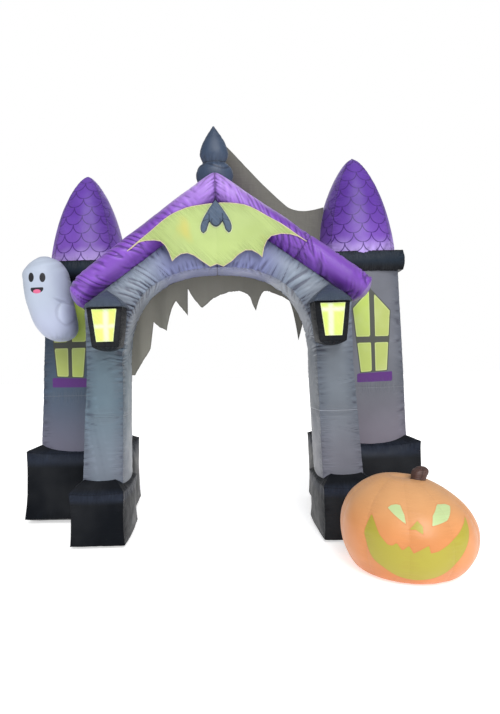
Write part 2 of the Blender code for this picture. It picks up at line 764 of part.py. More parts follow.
CLOTH_LEAVES_ROOF, CLOTH_MOST_SLOPE = 0.06, 1.5  # height above the tubes' middle line, and lean there
CLOTH_CLEARANCE = 0.0025


def cloth_front(x, z):
    """The cloth's depth: down behind the roof and arch, and up towards finial and cone above them."""
    fold = CLOTH_FOLD * (1 - math.cos(2 * math.pi * x / CLOTH_FOLD_PITCH))
    behind = CLOTH_BACK + fold * min(1, max(0, CLOTH_FREE_FROM - z) / CLOTH_FREE_OVER)
    behind += CLOTH_TURN * max(0, x - CLOTH_TURN_X) ** 2
    leaves = RIDGE_HEIGHT - ROOF_SLOPE * abs(x) + CLOTH_LEAVES_ROOF
    if z <= leaves:
        return behind
    hung = max(CLOTH_HUNG_FRONT + CLOTH_HUNG_SPREAD * max(0, x), behind - CLOTH_MOST_LEAN)
    share = min(1, (z - leaves) / (curve_through(CLOTH_TOP, x) - leaves))
    eased = share * share * (3 - 2 * share)
    return max(between(behind, hung, (share + eased) / 2), behind - CLOTH_MOST_SLOPE * (z - leaves))


def cloth_columns():
    columns = []
    for (x0, z0, bow, steps), (x1, z1, _, _) in zip(CLOTH_RAGS, CLOTH_RAGS[1:]):
        for step in range(steps):
            share = step / steps
            x = between(x0, x1, share)
            torn = between(z0, z1, share) + bow * swell_at(share)
            columns.append((x, curve_through(CLOTH_TOP, x), torn))
    x, torn, _, _ = CLOTH_RAGS[-1]
    return columns + [(x, curve_through(CLOTH_TOP, x), torn)]


def make_cloth():
    cloth = sheet("tattered_cloth", cloth_columns(), CLOTH_STEPS, cloth_front, lambda x, z: SHEET)
    return painted(cloth, "cloth")


def make_cloth_room():
    """A cutter from just in front of the cloth to well behind it, where nothing else may reach."""
    room = sheet(
        "tattered_cloth_room",
        cloth_columns(),
        CLOTH_STEPS,
        lambda x, z: cloth_front(x, z) - CLOTH_CLEARANCE,
        lambda x, z: ROOM_REACH,
    )
    return as_cutter(room)


# ---- the whole ----


def build_sides():
    """Feet, towers and lanterns on either side, each trimmed to what carries it."""
    made = {}
    for which, side in SIDES.items():
        rear = make_foot("rear_base_" + which, REAR_FOOT, side, which)
        front = make_foot("front_base_" + which, FRONT_FOOT, side, which)
        cornice = make_cornice("cornice_" + which, side, which)
        tower = make_tower("tower_" + which, side, which)
        cone = make_cone("cone_" + which, side, which)
        rear_room, cornice_room = grown(rear), grown(cornice)
        trim(front, rear_room)
        trim(tower, rear_room, cornice_room)
        trim(cone, cornice_room)
        made[which] = {
            "feet": [grown(front), rear_room],
            "tower": [grown(tower), cornice_room, grown(cone)],
            "lantern": make_lantern(side, which),
        }
    return made


def build():
    clear_scene()
    sides = build_sides()
    left, right = sides["left"], sides["right"]
    arch, roof, finial = make_arch(), make_roof(), make_finial()
    wings, cloth = make_wings(), make_cloth()
    wing_room, cloth_room = make_wing_room(), make_cloth_room()
    make_bat_body()
    arch_room, roof_room = grown(arch), grown(roof)

    trim(arch, *left["feet"], *right["feet"], wing_room)
    trim(roof, arch_room, *left["tower"], *right["tower"], wing_room, cloth_room)
    trim(finial, roof_room)
    trim(cloth, *right["tower"])
    for side in sides.values():
        body, lantern_roof, pane = side["lantern"]
        trim(body, arch_room)
        trim(lantern_roof, arch_room, roof_room)
        trim(pane, grown(body))
    trim(make_ghost(), *left["tower"], roof_room)

    pumpkin = make_pumpkin()
    trim(make_stem(), grown(pumpkin))
    trim(pumpkin, *right["feet"])
    centre_all()


def centre_all():
    """Puts the origin at the middle of the footprint, on the ground."""
    bpy.context.view_layer.update()
    graph = bpy.context.evaluated_depsgraph_get()
    corners = []
    for piece in bpy.data.objects:
        if not piece.hide_render:
            corners += [Vector(corner) for corner in piece.evaluated_get(graph).bound_box]
    low = [min(corner[axis] for corner in corners) for axis in range(3)]
    high = [max(corner[axis] for corner in corners) for axis in range(3)]
    middle = bpy.data.objects.new("gateway_origin", None)
    bpy.context.scene.collection.objects.link(middle)
    for piece in bpy.data.objects:
        if piece is not middle:
            piece.parent = middle
    middle.location = (-(low[0] + high[0]) / 2, -(low[1] + high[1]) / 2, -low[2])


build()
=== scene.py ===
"""An inflatable castle gateway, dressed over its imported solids: every chamber is sewn again on a fine grid.

Lengths are in metres and +Z is up. X runs across the gateway, and +X is its right side as one faces it.
Shapes are worked out with Y as the depth behind the front feet's faces, and moved into the frame last.
"""

import math

import bpy
import numpy as np
from bpy.props import FloatProperty, FloatVectorProperty, PointerProperty
from mathutils import Matrix, Vector
from mathutils.kdtree import KDTree


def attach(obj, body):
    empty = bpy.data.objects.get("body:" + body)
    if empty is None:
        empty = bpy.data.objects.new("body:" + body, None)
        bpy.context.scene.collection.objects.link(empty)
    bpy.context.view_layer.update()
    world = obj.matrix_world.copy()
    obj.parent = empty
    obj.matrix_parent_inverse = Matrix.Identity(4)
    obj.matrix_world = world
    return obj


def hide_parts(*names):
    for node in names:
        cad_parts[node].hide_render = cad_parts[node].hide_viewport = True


bl_info = {
    "name": "Inflatable castle gateway",
    "version": (1, 0, 0),
    "blender": (4, 5, 0),
    "location": "3D View > Sidebar > Gateway",
    "description": "Sews the chambers, sheets, prints and cloth finishes of an inflatable castle gateway",
    "category": "Object",
}

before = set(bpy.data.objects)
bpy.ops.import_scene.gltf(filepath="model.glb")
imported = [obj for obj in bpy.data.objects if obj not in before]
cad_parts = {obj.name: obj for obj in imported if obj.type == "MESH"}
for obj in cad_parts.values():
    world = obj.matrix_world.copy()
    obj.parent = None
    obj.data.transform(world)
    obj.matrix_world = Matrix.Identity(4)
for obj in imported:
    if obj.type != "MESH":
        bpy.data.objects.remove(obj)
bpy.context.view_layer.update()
SIDES = {"left": -1, "right": 1}
BODY = "root"
FAR = 9.0  # a distance that no print or seam reaches


# ---- what a user may change ----


def length(name, default, description):
    return FloatProperty(name=name, default=default, description=description, unit="LENGTH", precision=4)


def factor(name, default, description, least=0.0, most=10.0):
    return FloatProperty(name=name, default=default, description=description, min=least, max=most)


def tint(name, default, description):
    return FloatVectorProperty(
        name=name, default=default, description=description, subtype="COLOR", size=3, min=0, max=1
    )


class GatewayClothLook(bpy.types.PropertyGroup):
    """How the sewn cloth puckers, and its colours."""

    mesh_step: length("Mesh step", 0.010, "Distance between the points of a chamber's skin")
    pucker_height: length("Pucker height", 0.0060, "Depth of the gathers beside a seam")
    pucker_pitch: length("Pucker pitch", 0.034, "Distance between the gathers beside a seam")
    pucker_reach: length("Pucker reach", 0.075, "How far the gathers run into a panel")
    clearance: length("Clearance", 0.0015, "Between a chamber's skin and what presses on it")
    front_face: length("Front face", -0.249685, "Y of the front feet's sewn faces in the frame")
    middle: length("Middle", -0.0125, "X of the arch's middle in the frame")
    grey: tint("Grey", (0.165, 0.186, 0.228), "Cloth of the arch and towers")
    black: tint("Black", (0.0030, 0.0042, 0.0066), "Cloth of the feet, cornices and lanterns")
    purple: tint("Purple", (0.175, 0.056, 0.410), "Cloth of the roof and cones")
    slate: tint("Slate", (0.062, 0.096, 0.155), "Cloth of the finial, bat and lantern roofs")
    lime: tint("Lime", (0.355, 0.450, 0.150), "Cloth of the bat's wings")
    pane: tint("Pane", (0.600, 0.760, 0.150), "Lit lantern panes")
    white: tint("White", (0.410, 0.465, 0.565), "Cloth of the ghost")
    orange: tint("Orange", (0.600, 0.228, 0.072), "Cloth of the pumpkin")
    brown: tint("Brown", (0.075, 0.035, 0.028), "Cloth of the pumpkin's stem")
    cloth: tint("Tattered cloth", (0.215, 0.210, 0.180), "Loose cloth behind the arch")


class GatewayFootSizes(bpy.types.PropertyGroup):
    """The black feet: the front ones carry the arch's legs and the rear ones the towers."""

    front_centre: length("Front centre", 0.892, "X of the front foot's middle")
    front_width: length("Front width", 0.385, "Width of the front foot between its seams")
    front_depth: length("Front depth", 0.66, "Depth of the front foot between its seams")
    front_edge: length("Front edge", 0.38, "Height of the front foot's upper seam")
    front_crown: length("Front crown", 0.10, "Rise of the front foot's top panel")
    rear_centre: length("Rear centre", 1.18, "X of the left rear foot's middle")
    rear_front: length("Rear front", 0.66, "Depth at which the rear foot starts")
    rear_width: length("Rear width", 0.82, "Width of the rear foot between its seams")
    rear_depth: length("Rear depth", 0.72, "Depth of the rear foot between its seams")
    rear_edge: length("Rear edge", 0.565, "Height of the rear foot's upper seam")
    rear_crown: length("Rear crown", 0.10, "Rise of the rear foot's top panel")
    puff: length("Puff", 0.022, "How far a side panel blows out")
    puff_at_edge: factor("Puff at edge", 0.35, "Share of the puff that is left at an upper or lower seam")
    pinch: length("Pinch", 0.010, "How far the upright seams draw in half way up")


class GatewayTowerSizes(bpy.types.PropertyGroup):
    """Towers, cornices and cones."""

    depth_centre: length("Depth centre", 1.06, "Depth of the towers' middle")
    half_base: length("Half base", 0.312, "Half a tower's width at its foot")
    half_top: length("Half top", 0.292, "Half a tower's width at its cornice")
    puff: length("Puff", 0.036, "How far a tower's panel blows out")
    bottom: length("Bottom", 0.45, "Height at which a tower starts, inside its foot")
    cross_seam: length("Cross seam", 1.035, "Height of the seam round a tower")
    cornice_half: length("Cornice half width", 0.328, "Half a cornice's width")
    cornice_height: length("Cornice height", 0.165, "Height of a cornice")
    cornice_puff: length("Cornice puff", 0.022, "How far a cornice blows out")
    cone_puff: factor("Cone puff", 0.35, "How far a cone's panel blows out, as a share of its half width")
    cone_seat: factor("Cone seat", 0.8, "Where a cone starts, as a share of its cornice's height")


class GatewayArchSizes(bpy.types.PropertyGroup):
    """The grey arch and the roof on it."""

    front: length("Arch front", 0.15, "Depth at which the arch starts")
    depth: length("Arch depth", 0.45, "Depth of the arch between its seams")
    leg_bottom: length("Leg bottom", 0.38, "Height at which a leg starts, inside its foot")
    leg_in: length("Leg inside", 0.712, "Half the opening's width at the legs' bottom")
    leg_out: length("Leg outside", 1.035, "Half the arch's width at the legs' bottom")
    spring: length("Spring height", 1.25, "Height at which the opening starts to round")
    spring_in: length("Spring inside", 0.688, "Half the opening's width at the spring")
    spring_out: length("Spring outside", 0.982, "Half the arch's width at the spring")
    rise: length("Opening rise", 0.705, "Height of the opening above the spring")
    power: factor("Opening squareness", 2.5, "2 is an ellipse, and more is squarer")
    top: length("Arch top", 2.44, "Height of the arch's upper edge in the middle")
    puff_across: length("Puff across", 0.030, "How far the inner and outer panels blow out")
    puff_deep: length("Puff forward", 0.020, "How far the front and back panels blow out")
    leg_seam: length("Leg seam", 0.912, "Height of the seam round a leg")
    ridge: length("Ridge height", 2.55, "Height of the roof tubes' middle line at the ridge")
    slope: factor("Roof slope", 0.72, "Fall of a roof tube for each metre outwards")
    reach: length("Roof reach", 1.037, "X at which the left tube's middle line ends")
    roof_front: length("Roof front", 0.04, "Depth at which the roof starts")
    roof_depth: length("Roof depth", 0.665, "Depth of the roof tubes")
    roof_thick: length("Roof thickness", 0.25, "Thickness of the roof tubes")
    roof_seam: length("Roof seam", 0.62, "X of the seam round a roof tube")


class GatewayFigureSizes(bpy.types.PropertyGroup):
    """Pumpkin, ghost, lanterns and finial."""

    pumpkin_x: length("Pumpkin X", 1.143, "X of the pumpkin's middle")
    pumpkin_y: length("Pumpkin depth", -0.455, "Depth of the pumpkin's middle")
    pumpkin_deep: factor("Pumpkin depth share", 1.15, "Depth of the pumpkin for each metre of width")
    pumpkin_rib: factor("Pumpkin ribs", 0.018, "How far the seams between gores draw in, of the radius")
    ghost_middle: length("Ghost depth", 0.53, "Depth of the ghost's middle")
    ghost_half_depth: length("Ghost half depth", 0.215, "Half the ghost's depth where it is widest")
    lantern_x: length("Lantern X", 0.787, "X of the lanterns' middle")
    lantern_front: length("Lantern front", -0.055, "Depth of the lanterns' front")
    lantern_depth: length("Lantern depth", 0.215, "Depth of the lanterns")
    finial_middle: length("Finial depth", 0.30, "Depth of the finial's middle")
    finial_flatness: factor("Finial flatness", 0.62, "Depth of the finial for each metre of width")


class GatewaySheetSizes(bpy.types.PropertyGroup):
    """The bat's wings and the tattered cloth."""

    thickness: length("Sheet thickness", 0.003, "Thickness of a hemmed sheet")
    wing_front: length("Wing front", 0.041, "Depth of the wings' upper edge")
    wing_backset: length("Wing lean", 0.083, "How far the wings lean back at their lowest")
    cloth_back: length("Cloth depth", 0.703, "Depth at which the tattered cloth hangs")
    cloth_fold: length("Cloth fold", 0.012, "Depth of the hanging folds")
    fold_pitch: length("Fold pitch", 0.21, "Distance between the hanging folds")
    fray: length("Fray", 0.007, "Depth of the nicks along a torn edge")


class GatewayStageSettings(bpy.types.PropertyGroup):
    """Camera, floor and light."""

    camera_back: length("Camera distance", 4.11, "From the front feet's faces to the camera")
    camera_height: length("Camera height", 1.32, "Height of the camera")
    camera_roll: FloatProperty(
        name="Camera roll", default=math.radians(1.6), subtype="ANGLE", description="Turn about the view"
    )
    lens: factor("Lens", 29.65, "Focal length in millimetres", 5, 200)
    floor_size: length("Floor size", 60.0, "Side of the square floor")
    floor: tint("Floor", (0.86, 0.86, 0.865), "Pale floor")
    sky: factor("Ceiling light", 2.2, "Strength of the broad light from above and in front", 0, 99)
    key: factor("Key light", 52.0, "Watts of the large soft light in front", 0, 9000)
    back: factor("Back light", 40.0, "Watts of the soft light behind and above", 0, 9000)
    surround: factor("Surrounding light", 0.40, "Strength of the pale surroundings", 0, 9)


def settings():
    return bpy.context.scene.gateway


class GatewaySettings(bpy.types.PropertyGroup):
    """Everything that a user may change, by piece."""

    look: PointerProperty(type=GatewayClothLook)
    feet: PointerProperty(type=GatewayFootSizes)
    towers: PointerProperty(type=GatewayTowerSizes)
    arch: PointerProperty(type=GatewayArchSizes)
    figures: PointerProperty(type=GatewayFigureSizes)
    sheets: PointerProperty(type=GatewaySheetSizes)
    stage: PointerProperty(type=GatewayStageSettings)


# ---- sums ----

LATTICE = np.random.default_rng(11).uniform(-1, 1, (97, 89))


def mix(a, b, share):
    return a + (b - a) * share


def swell_at(share):
    """From 0 at either end of a piece to 1 at its middle."""
    return 4 * share * (1 - share)


def ease(share):
    """From 0 to 1 with a soft start and end."""
    share = np.clip(share, 0, 1)
    return share * share * (3 - 2 * share)


def wander(x, y, seed):
    """Smooth noise between -1 and 1, with about one bump to each unit of x and of y."""
    x, y = np.broadcast_arrays(np.asarray(x, float) + 17.31 * seed, np.asarray(y, float) + 9.17 * seed)
    i, j = np.floor(x).astype(int), np.floor(y).astype(int)
    s, t = ease(x - i), ease(y - j)
    rows, columns = LATTICE.shape

    def at(a, b):
        return LATTICE[a % rows, b % columns]

    return mix(mix(at(i, j), at(i + 1, j), s), mix(at(i, j + 1), at(i + 1, j + 1), s), t)


def narrow(waves, width=0.30):
    """Turns smooth waves into narrow creases where they cross zero."""
    return np.exp(-((waves / width) ** 2))


def curve_through(points, x):
    """The smooth curve through (x, value) points, at x."""
    xs, values = np.array(points, float).T
    last = len(xs) - 1
    x = np.asarray(x, float)
    i = np.clip(np.searchsorted(xs, x, side="right") - 1, 0, last - 1)
    after, before = np.minimum(np.arange(last + 1) + 1, last), np.maximum(np.arange(last + 1) - 1, 0)
    slopes = (values[after] - values[before]) / (xs[after] - xs[before])
    step = xs[i + 1] - xs[i]
    t = (x - xs[i]) / step
    value = (2 * t**3 - 3 * t**2 + 1) * values[i] + (3 * t**2 - 2 * t**3) * values[i + 1]
    return value + (t**3 - 2 * t**2 + t) * step * slopes[i] + (t**3 - t**2) * step * slopes[i + 1]


def curves_of(rows, places):
    """Smooth curves through the columns of a table of rows, over its first column."""
    first, *others = np.array(rows, float).T
    return [curve_through(np.stack([first, values], 1), places) for values in others]


def outside(x, z, corners):
    """Distance of each point from a polygon, negative inside it."""
    corners = np.array(corners, float)
    nearest = np.full(np.shape(x), FAR)
    inside = np.zeros(np.shape(x), bool)
    for (x0, z0), (x1, z1) in zip(corners, np.roll(corners, -1, axis=0)):
        along = ((x - x0) * (x1 - x0) + (z - z0) * (z1 - z0)) / ((x1 - x0) ** 2 + (z1 - z0) ** 2)
        along = np.clip(along, 0, 1)
        nearest = np.minimum(nearest, np.hypot(x - mix(x0, x1, along), z - mix(z0, z1, along)))
        crosses = (z0 > z) != (z1 > z)
        rise = z1 - z0 if z1 != z0 else 1e-9
        inside ^= crosses & (x < x0 + (z - z0) * (x1 - x0) / rise)
    return np.where(inside, -nearest, nearest)


# ---- skins: grids of points, closed across and at both ends ----


def corner_columns(place):
    """The columns at the corners of a four-panelled chamber, where its upright seams run."""
    return [int(i) for i in np.flatnonzero(place[0] == -1)]


def panel_places(width, depth, step):
    """Where the columns of a four-panelled chamber run: place from -1 to 1 on its panel, and the panel."""
    places, panels = [], []
    for panel, side in enumerate((width, depth, width, depth)):
        count = max(6, round(side / step))
        flank = min(0.5, 0.5 * step / side)
        even = np.linspace(-1, 1, count + 1)[:-1]
        row = np.sort(np.concatenate([even, [-1 + flank, 1 - flank]]))
        places.append(row)
        panels.append(np.full(len(row), panel))
    return np.concatenate(places)[None, :], np.concatenate(panels)[None, :]


def section(half_width, half_depth, puff_width, puff_depth, place, panel):
    """A rectangle sewn of four panels and blown up: front, right, back and left."""
    bulge = 1 - place**2
    faces_depth = panel % 2 == 0
    turn = np.where(panel < 2, 1, -1)
    u = np.where(faces_depth, place * half_width, half_width + puff_width * bulge) * turn
    v = np.where(faces_depth, -half_depth - puff_depth * bulge, place * half_depth) * turn
    return u, v


def oval(half_width, half_depth, power, turn):
    """An oval that grows squarer as its power rises."""
    cosine, sine = np.cos(turn), np.sin(turn)
    reach = (np.abs(cosine) ** power + np.abs(sine) ** power) ** (-1 / power)
    return half_width * reach * cosine, half_depth * reach * sine


def turns(count):
    """Even angles round a ring."""
    return (2 * math.pi * np.arange(count) / count)[None, :]


def points_of(x, y, z):
    """Points from grids of coordinates that may have only rows or only columns."""
    x, y, z = np.broadcast_arrays(x, y, z)
    return np.stack([x, y, z], axis=-1).astype(float)


def capped(rows, start_rise, end_rise, steps):
    """Adds domed rings at both ends, as (all rows, first and last point, how many rings each cap has)."""
    ends = []
    for ring, rise in ((rows[0], start_rise), (rows[-1], end_rise)):
        centre = ring.mean(axis=0)
        shares = (1 - np.arange(1, steps) / steps)[:, None, None]
        ends.append((centre + (ring - centre) * shares + np.array(rise) * (1 - shares**2), centre + rise))
    (first, first_point), (last, last_point) = ends
    return np.concatenate([first[::-1], rows, last]), (first_point, last_point), steps - 1


def skin(rows, start_rise=(0, 0, 0), end_rise=(0, 0, 0), steps=8, columns=(), crossings=(), rims=(1, 1)):
    """A closed chamber's points, with the distance from each seam and the place along it.

    columns are the seams that run lengthwise, crossings the rows that are seams, and rims says which ends
    are sewn to their cap."""
    main = len(rows)
    rows, poles, cap = capped(rows, start_rise, end_rise, steps)
    length_ways = np.zeros(rows.shape[:2])
    length_ways[1:] = np.cumsum(np.linalg.norm(np.diff(rows, axis=0), axis=2), axis=0)
    length_ways -= length_ways[cap]
    closing = np.linalg.norm(np.roll(rows, -1, axis=1) - rows, axis=2)
    cross_ways = np.concatenate([np.zeros((len(rows), 1)), np.cumsum(closing, axis=1)], axis=1)
    round_ways, cross_ways = cross_ways[:, -1:], cross_ways[:, :-1]
    inside = np.zeros(len(rows), bool)
    inside[cap : cap + main] = True

    seams = []
    for column in columns:
        away = np.abs(cross_ways - cross_ways[:, column : column + 1])
        away = np.minimum(away, round_ways - away)
        seams.append((np.where(inside[:, None], away, FAR), length_ways))
    marked = [row + cap for row in crossings]
    marked += [cap] if rims[0] else []
    marked += [cap + main - 1] if rims[1] else []
    for row in marked:
        ring = slice(row, row + 1)
        seams.append((np.abs(length_ways - length_ways[ring]), cross_ways[ring] + 0 * length_ways))
    made = {"rows": rows, "poles": poles, "cap": cap, "seams": seams, "lengthwise": len(columns)}
    return {**made, "along": length_ways, "across": cross_ways}


def puckers(away, along, seed, strength, fine=1.0):
    """How deep the cloth is drawn in by the gathers beside a seam."""
    look = settings().look
    pitch = look.pucker_pitch * fine
    reach = look.pucker_reach * (0.75 + 0.6 * wander(along / (2.2 * pitch), 0, seed + 3))
    lean = along + 0.25 * away * wander(along / (4 * pitch), 0, seed + 5)
    crease = narrow(wander(lean / pitch, away / (3 * look.pucker_reach), seed))
    fade = np.exp(-away / np.maximum(reach, 0.02)) * (1 - 0.55 * np.exp(-away / 0.008))
    return strength * look.pucker_height * fade * crease


def gathers(made, seed, strengths, every=1, fine=1.0):
    """The puckers of all seams: the first strength is for lengthwise seams, the next ones for the rings."""
    depth = 0
    for i, (away, along) in enumerate(made["seams"]):
        ring = max(0, i + 1 - made["lengthwise"])
        depth = depth + puckers(away, along, seed + every * i, strengths[min(ring, len(strengths) - 1)], fine)
    return depth


def uneven(made, height, along, across, seed):
    """The low waves of cloth that is blown up, with their lengths along and across the chamber."""
    return height * wander(made["along"] / along, made["across"] / across, seed)


def valley(away, deep, wide):
    """The dip of a seam that lies in a round surface."""
    return deep * np.exp(-((away / wide) ** 1.2))


SEAM_MEETING = 0.012  # metres over which creases fade out where two seams meet


def drawn_in(depth, reach=3):
    """How much deeper each point lies than the cloth about it, in metres."""
    padded = np.pad(depth, ((reach, reach), (0, 0)), mode="edge")
    along = padded[: -2 * reach] + padded[2 * reach :]
    across = np.roll(depth, reach, axis=1) + np.roll(depth, -reach, axis=1)
    return depth - (along + across) / 4


def mesh_piece(name, made, depth, values=None):
    """An object from a skin: depth is how far each point is drawn in, and values are kept for the finish."""
    rows, poles = made["rows"], made["poles"]
    height, count = rows.shape[:2]
    index = np.arange(height * count).reshape(height, count)
    beside = np.roll(index, -1, axis=1)
    quads = np.stack([index[:-1], beside[:-1], beside[1:], index[1:]], axis=-1).reshape(-1, 4).tolist()
    first, last = height * count, height * count + 1
    fans = [(int(beside[0, i]), int(index[0, i]), first) for i in range(count)]
    fans += [(int(index[-1, i]), int(beside[-1, i]), last) for i in range(count)]
    points = np.concatenate([rows.reshape(-1, 3), np.array(poles, float)])

    def with_poles(grid):
        grid = np.broadcast_to(grid, (height, count))
        return np.concatenate([grid.reshape(-1), [grid[0].mean(), grid[-1].mean()]])

    away = np.minimum.reduce([seam[0] for seam in made["seams"]] + [np.full((height, count), FAR)])
    along = made["along"] * 1.0
    for seam_away, seam_along in made["seams"]:
        along = np.where(seam_away <= away + 1e-9, seam_along, along)
    second = np.sort([seam[0] + 0 * away for seam in made["seams"]], axis=0)[1]
    meeting = np.exp(-np.maximum(0, second - away) / SEAM_MEETING)
    kept = {"seam": away, "stitch": along, "meeting": meeting, "drawn": drawn_in(depth + 0 * away)}
    kept = {key: with_poles(grid) for key, grid in {**kept, **(values or {})}.items()}
    return object_from(name, points, facing_out(points, quads + fans), kept, with_poles(depth))


def facing_out(points, faces):
    """The faces, turned over if they look inwards. The sum is six times the volume that they close."""
    quads = np.array([face for face in faces if len(face) == 4])
    fans = np.array([face for face in faces if len(face) == 3], int).reshape(-1, 3)
    total = 0.0
    for corners in (quads[:, [0, 1, 2]], quads[:, [0, 2, 3]], fans):
        first, second, third = (points[corners[:, i]] for i in range(3))
        total += np.einsum("ij,ij->i", first, np.cross(second, third)).sum()
    return faces if total >= 0 else [face[::-1] for face in faces]


def read(items, key, width=1):
    """A number or a vector of each item, such as the points of a mesh."""
    values = np.zeros(len(items) * width)
    items.foreach_get(key, values)
    return values.reshape(-1, width) if width > 1 else values


def linked(name, data):
    """A new object in the scene."""
    piece = bpy.data.objects.new(name, data)
    bpy.context.scene.collection.objects.link(piece)
    return piece


def object_from(name, points, faces, kept, depth=None):
    """An object in the frame, drawn in by depth along its normals, with its kept values."""
    look = settings().look
    points = points + np.array([look.middle, look.front_face, 0])
    mesh = bpy.data.meshes.new(name)
    mesh.from_pydata(points.tolist(), [], faces)
    if depth is not None:
        points = points - read(mesh.vertices, "normal", 3) * depth[:, None]
        points[:, 2] = np.maximum(points[:, 2], 0)
        mesh.vertices.foreach_set("co", points.reshape(-1))
    for key, values in kept.items():
        mesh.attributes.new(key, "FLOAT", "POINT").data.foreach_set("value", values.astype(np.float32))
    mesh.update()
    return linked(name, mesh)


# ---- sheets ----


def sheet_mesh(name, x, front, back, z, kept):
    """A closed sheet whose two faces are grids of points over the same x and z."""
    width, height = x.shape
    index = np.arange(width * height).reshape(width, height)
    quads = np.stack([index[:-1, :-1], index[:-1, 1:], index[1:, 1:], index[1:, :-1]], axis=-1).reshape(-1, 4)
    rim = np.concatenate([index[:-1, 0], index[-1, :-1], index[:0:-1, -1], index[0, :0:-1]])
    after, shift = np.roll(rim, -1), width * height
    faces = quads.tolist() + (quads[:, ::-1] + shift).tolist()
    faces += np.stack([rim, after, after + shift, rim + shift], axis=-1).tolist()
    points = np.concatenate([points_of(x, y, z).reshape(-1, 3) for y in (front, back)])
    kept = {key: np.tile(grid.reshape(-1), 2) for key, grid in kept.items()}
    return object_from(name, points, facing_out(points, faces), kept)


def sheet_piece(name, outline, rows, front_of, thickness, values_of=None):
    """A sheet of columns, each from top to bottom at its x, on the depth front_of(x, z)."""
    x, top, bottom = (edge[:, None] for edge in outline)
    z = mix(top, bottom, np.linspace(0, 1, rows + 1)[None, :])
    x = x + 0 * z
    front = front_of(x, z)
    back = front + (thickness(x, z) if callable(thickness) else thickness)
    return sheet_mesh(name, x, front, back, z, values_of(x, z) if values_of else {})


def steps_through(rows, step, rise_share=0.0):
    """Even steps between each two rows of a table, as row numbers with the share of the way to the next."""
    numbers = []
    for i, (row, after) in enumerate(zip(rows, rows[1:])):
        run = max(after[0] - row[0], abs(after[1] - row[1]) * rise_share)
        count = max(1, round(run / step))
        numbers += [i + k / count for k in range(count)]
    return np.array(numbers + [len(rows) - 1.0])


def at_steps(rows, numbers):
    """The columns of a table, at row numbers that may lie between two rows."""
    return [np.interp(numbers, range(len(rows)), values) for values in np.array(rows).T]


# ---- trimming, so that each chamber stays clear of what it presses on ----


def kept_keys(mesh):
    """The names of the values that are kept with the mesh."""
    return [a.name for a in mesh.attributes if a.data_type == "FLOAT" and a.domain == "POINT"]


def grown(piece, clearance):
    """A copy of the piece with its skin moved out."""
    mesh = piece.data.copy()
    for key in kept_keys(mesh):
        mesh.attributes.remove(mesh.attributes[key])
    points = read(mesh.vertices, "co", 3) + read(mesh.vertices, "normal", 3) * clearance
    mesh.vertices.foreach_set("co", points.reshape(-1))
    mesh.update()
    return linked(piece.name + "_room", mesh)


def trim(piece, neighbours, rooms=()):
    """Cuts the piece where it presses on its neighbours, and gives the new points their kept values."""
    cutters = [grown(bpy.data.objects[name], settings().look.clearance) for name in neighbours] + list(rooms)
    keys = kept_keys(piece.data)
    known = piece.data.attributes.new("known", "FLOAT", "POINT").data
    known.foreach_set("value", np.ones(len(known), np.float32))
    for cutter in cutters:
        cut = piece.modifiers.new("room for " + cutter.name, "BOOLEAN")
        cut.operation, cut.solver, cut.object = "DIFFERENCE", "MANIFOLD", cutter
    bpy.context.view_layer.update()
    evaluated = piece.evaluated_get(bpy.context.evaluated_depsgraph_get())
    mesh = bpy.data.meshes.new_from_object(evaluated)
    old = piece.data
    piece.modifiers.clear()
    piece.data = mesh
    bpy.data.meshes.remove(old)
    mesh.name = piece.name
    for cutter in cutters:
        bpy.data.meshes.remove(cutter.data)
    if not len(mesh.polygons):
        raise RuntimeError(piece.name + " was trimmed away")
    carry_values(mesh, keys)
    return piece


SURE = 0.999  # above this a point is an old one, whose values are its own


def carry_values(mesh, keys):
    """Gives each point that a cut has made the values of the three old points nearest to it."""
    if "known" not in mesh.attributes:
        return
    known = read(mesh.attributes["known"].data, "value")
    mesh.attributes.remove(mesh.attributes["known"])
    points = read(mesh.vertices, "co", 3)
    sure, unsure = np.flatnonzero(known > SURE), np.flatnonzero(known <= SURE)
    if not len(unsure) or not len(sure):
        return
    tree = KDTree(len(sure))
    for i in sure:
        tree.insert(points[i], int(i))
    tree.balance()
    sources = np.zeros((len(unsure), 3), int)
    weights = np.zeros((len(unsure), 3))
    for row, i in enumerate(unsure):
        for column, (_, source, distance) in enumerate(tree.find_n(points[i], 3)):
            sources[row, column], weights[row, column] = source, 1 / (distance + 1e-4)
    weights /= weights.sum(axis=1, keepdims=True)
    for key in keys:
        attribute = mesh.attributes.get(key)
        if attribute is None:
            raise RuntimeError(mesh.name + " lost its values of " + key)
        values = read(attribute.data, "value")
        values[unsure] = (values[sources] * weights).sum(axis=1)
        attribute.data.foreach_set("value", values.astype(np.float32))


def finish_piece(piece, material, sharp=42.0):
    """Shading, finish, body and the solid that the piece stands for."""
    piece.data.materials.clear()
    piece.data.materials.append(material)
    piece.data.shade_smooth()
    piece.data.set_sharp_from_angle(angle=math.radians(sharp))
    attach(piece, BODY)
    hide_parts(piece.name.replace("sewn_", ""))


def sewn(name):
    """The name of the visible piece that stands for a solid."""
    return "sewn_" + name


# ---- finishes ----

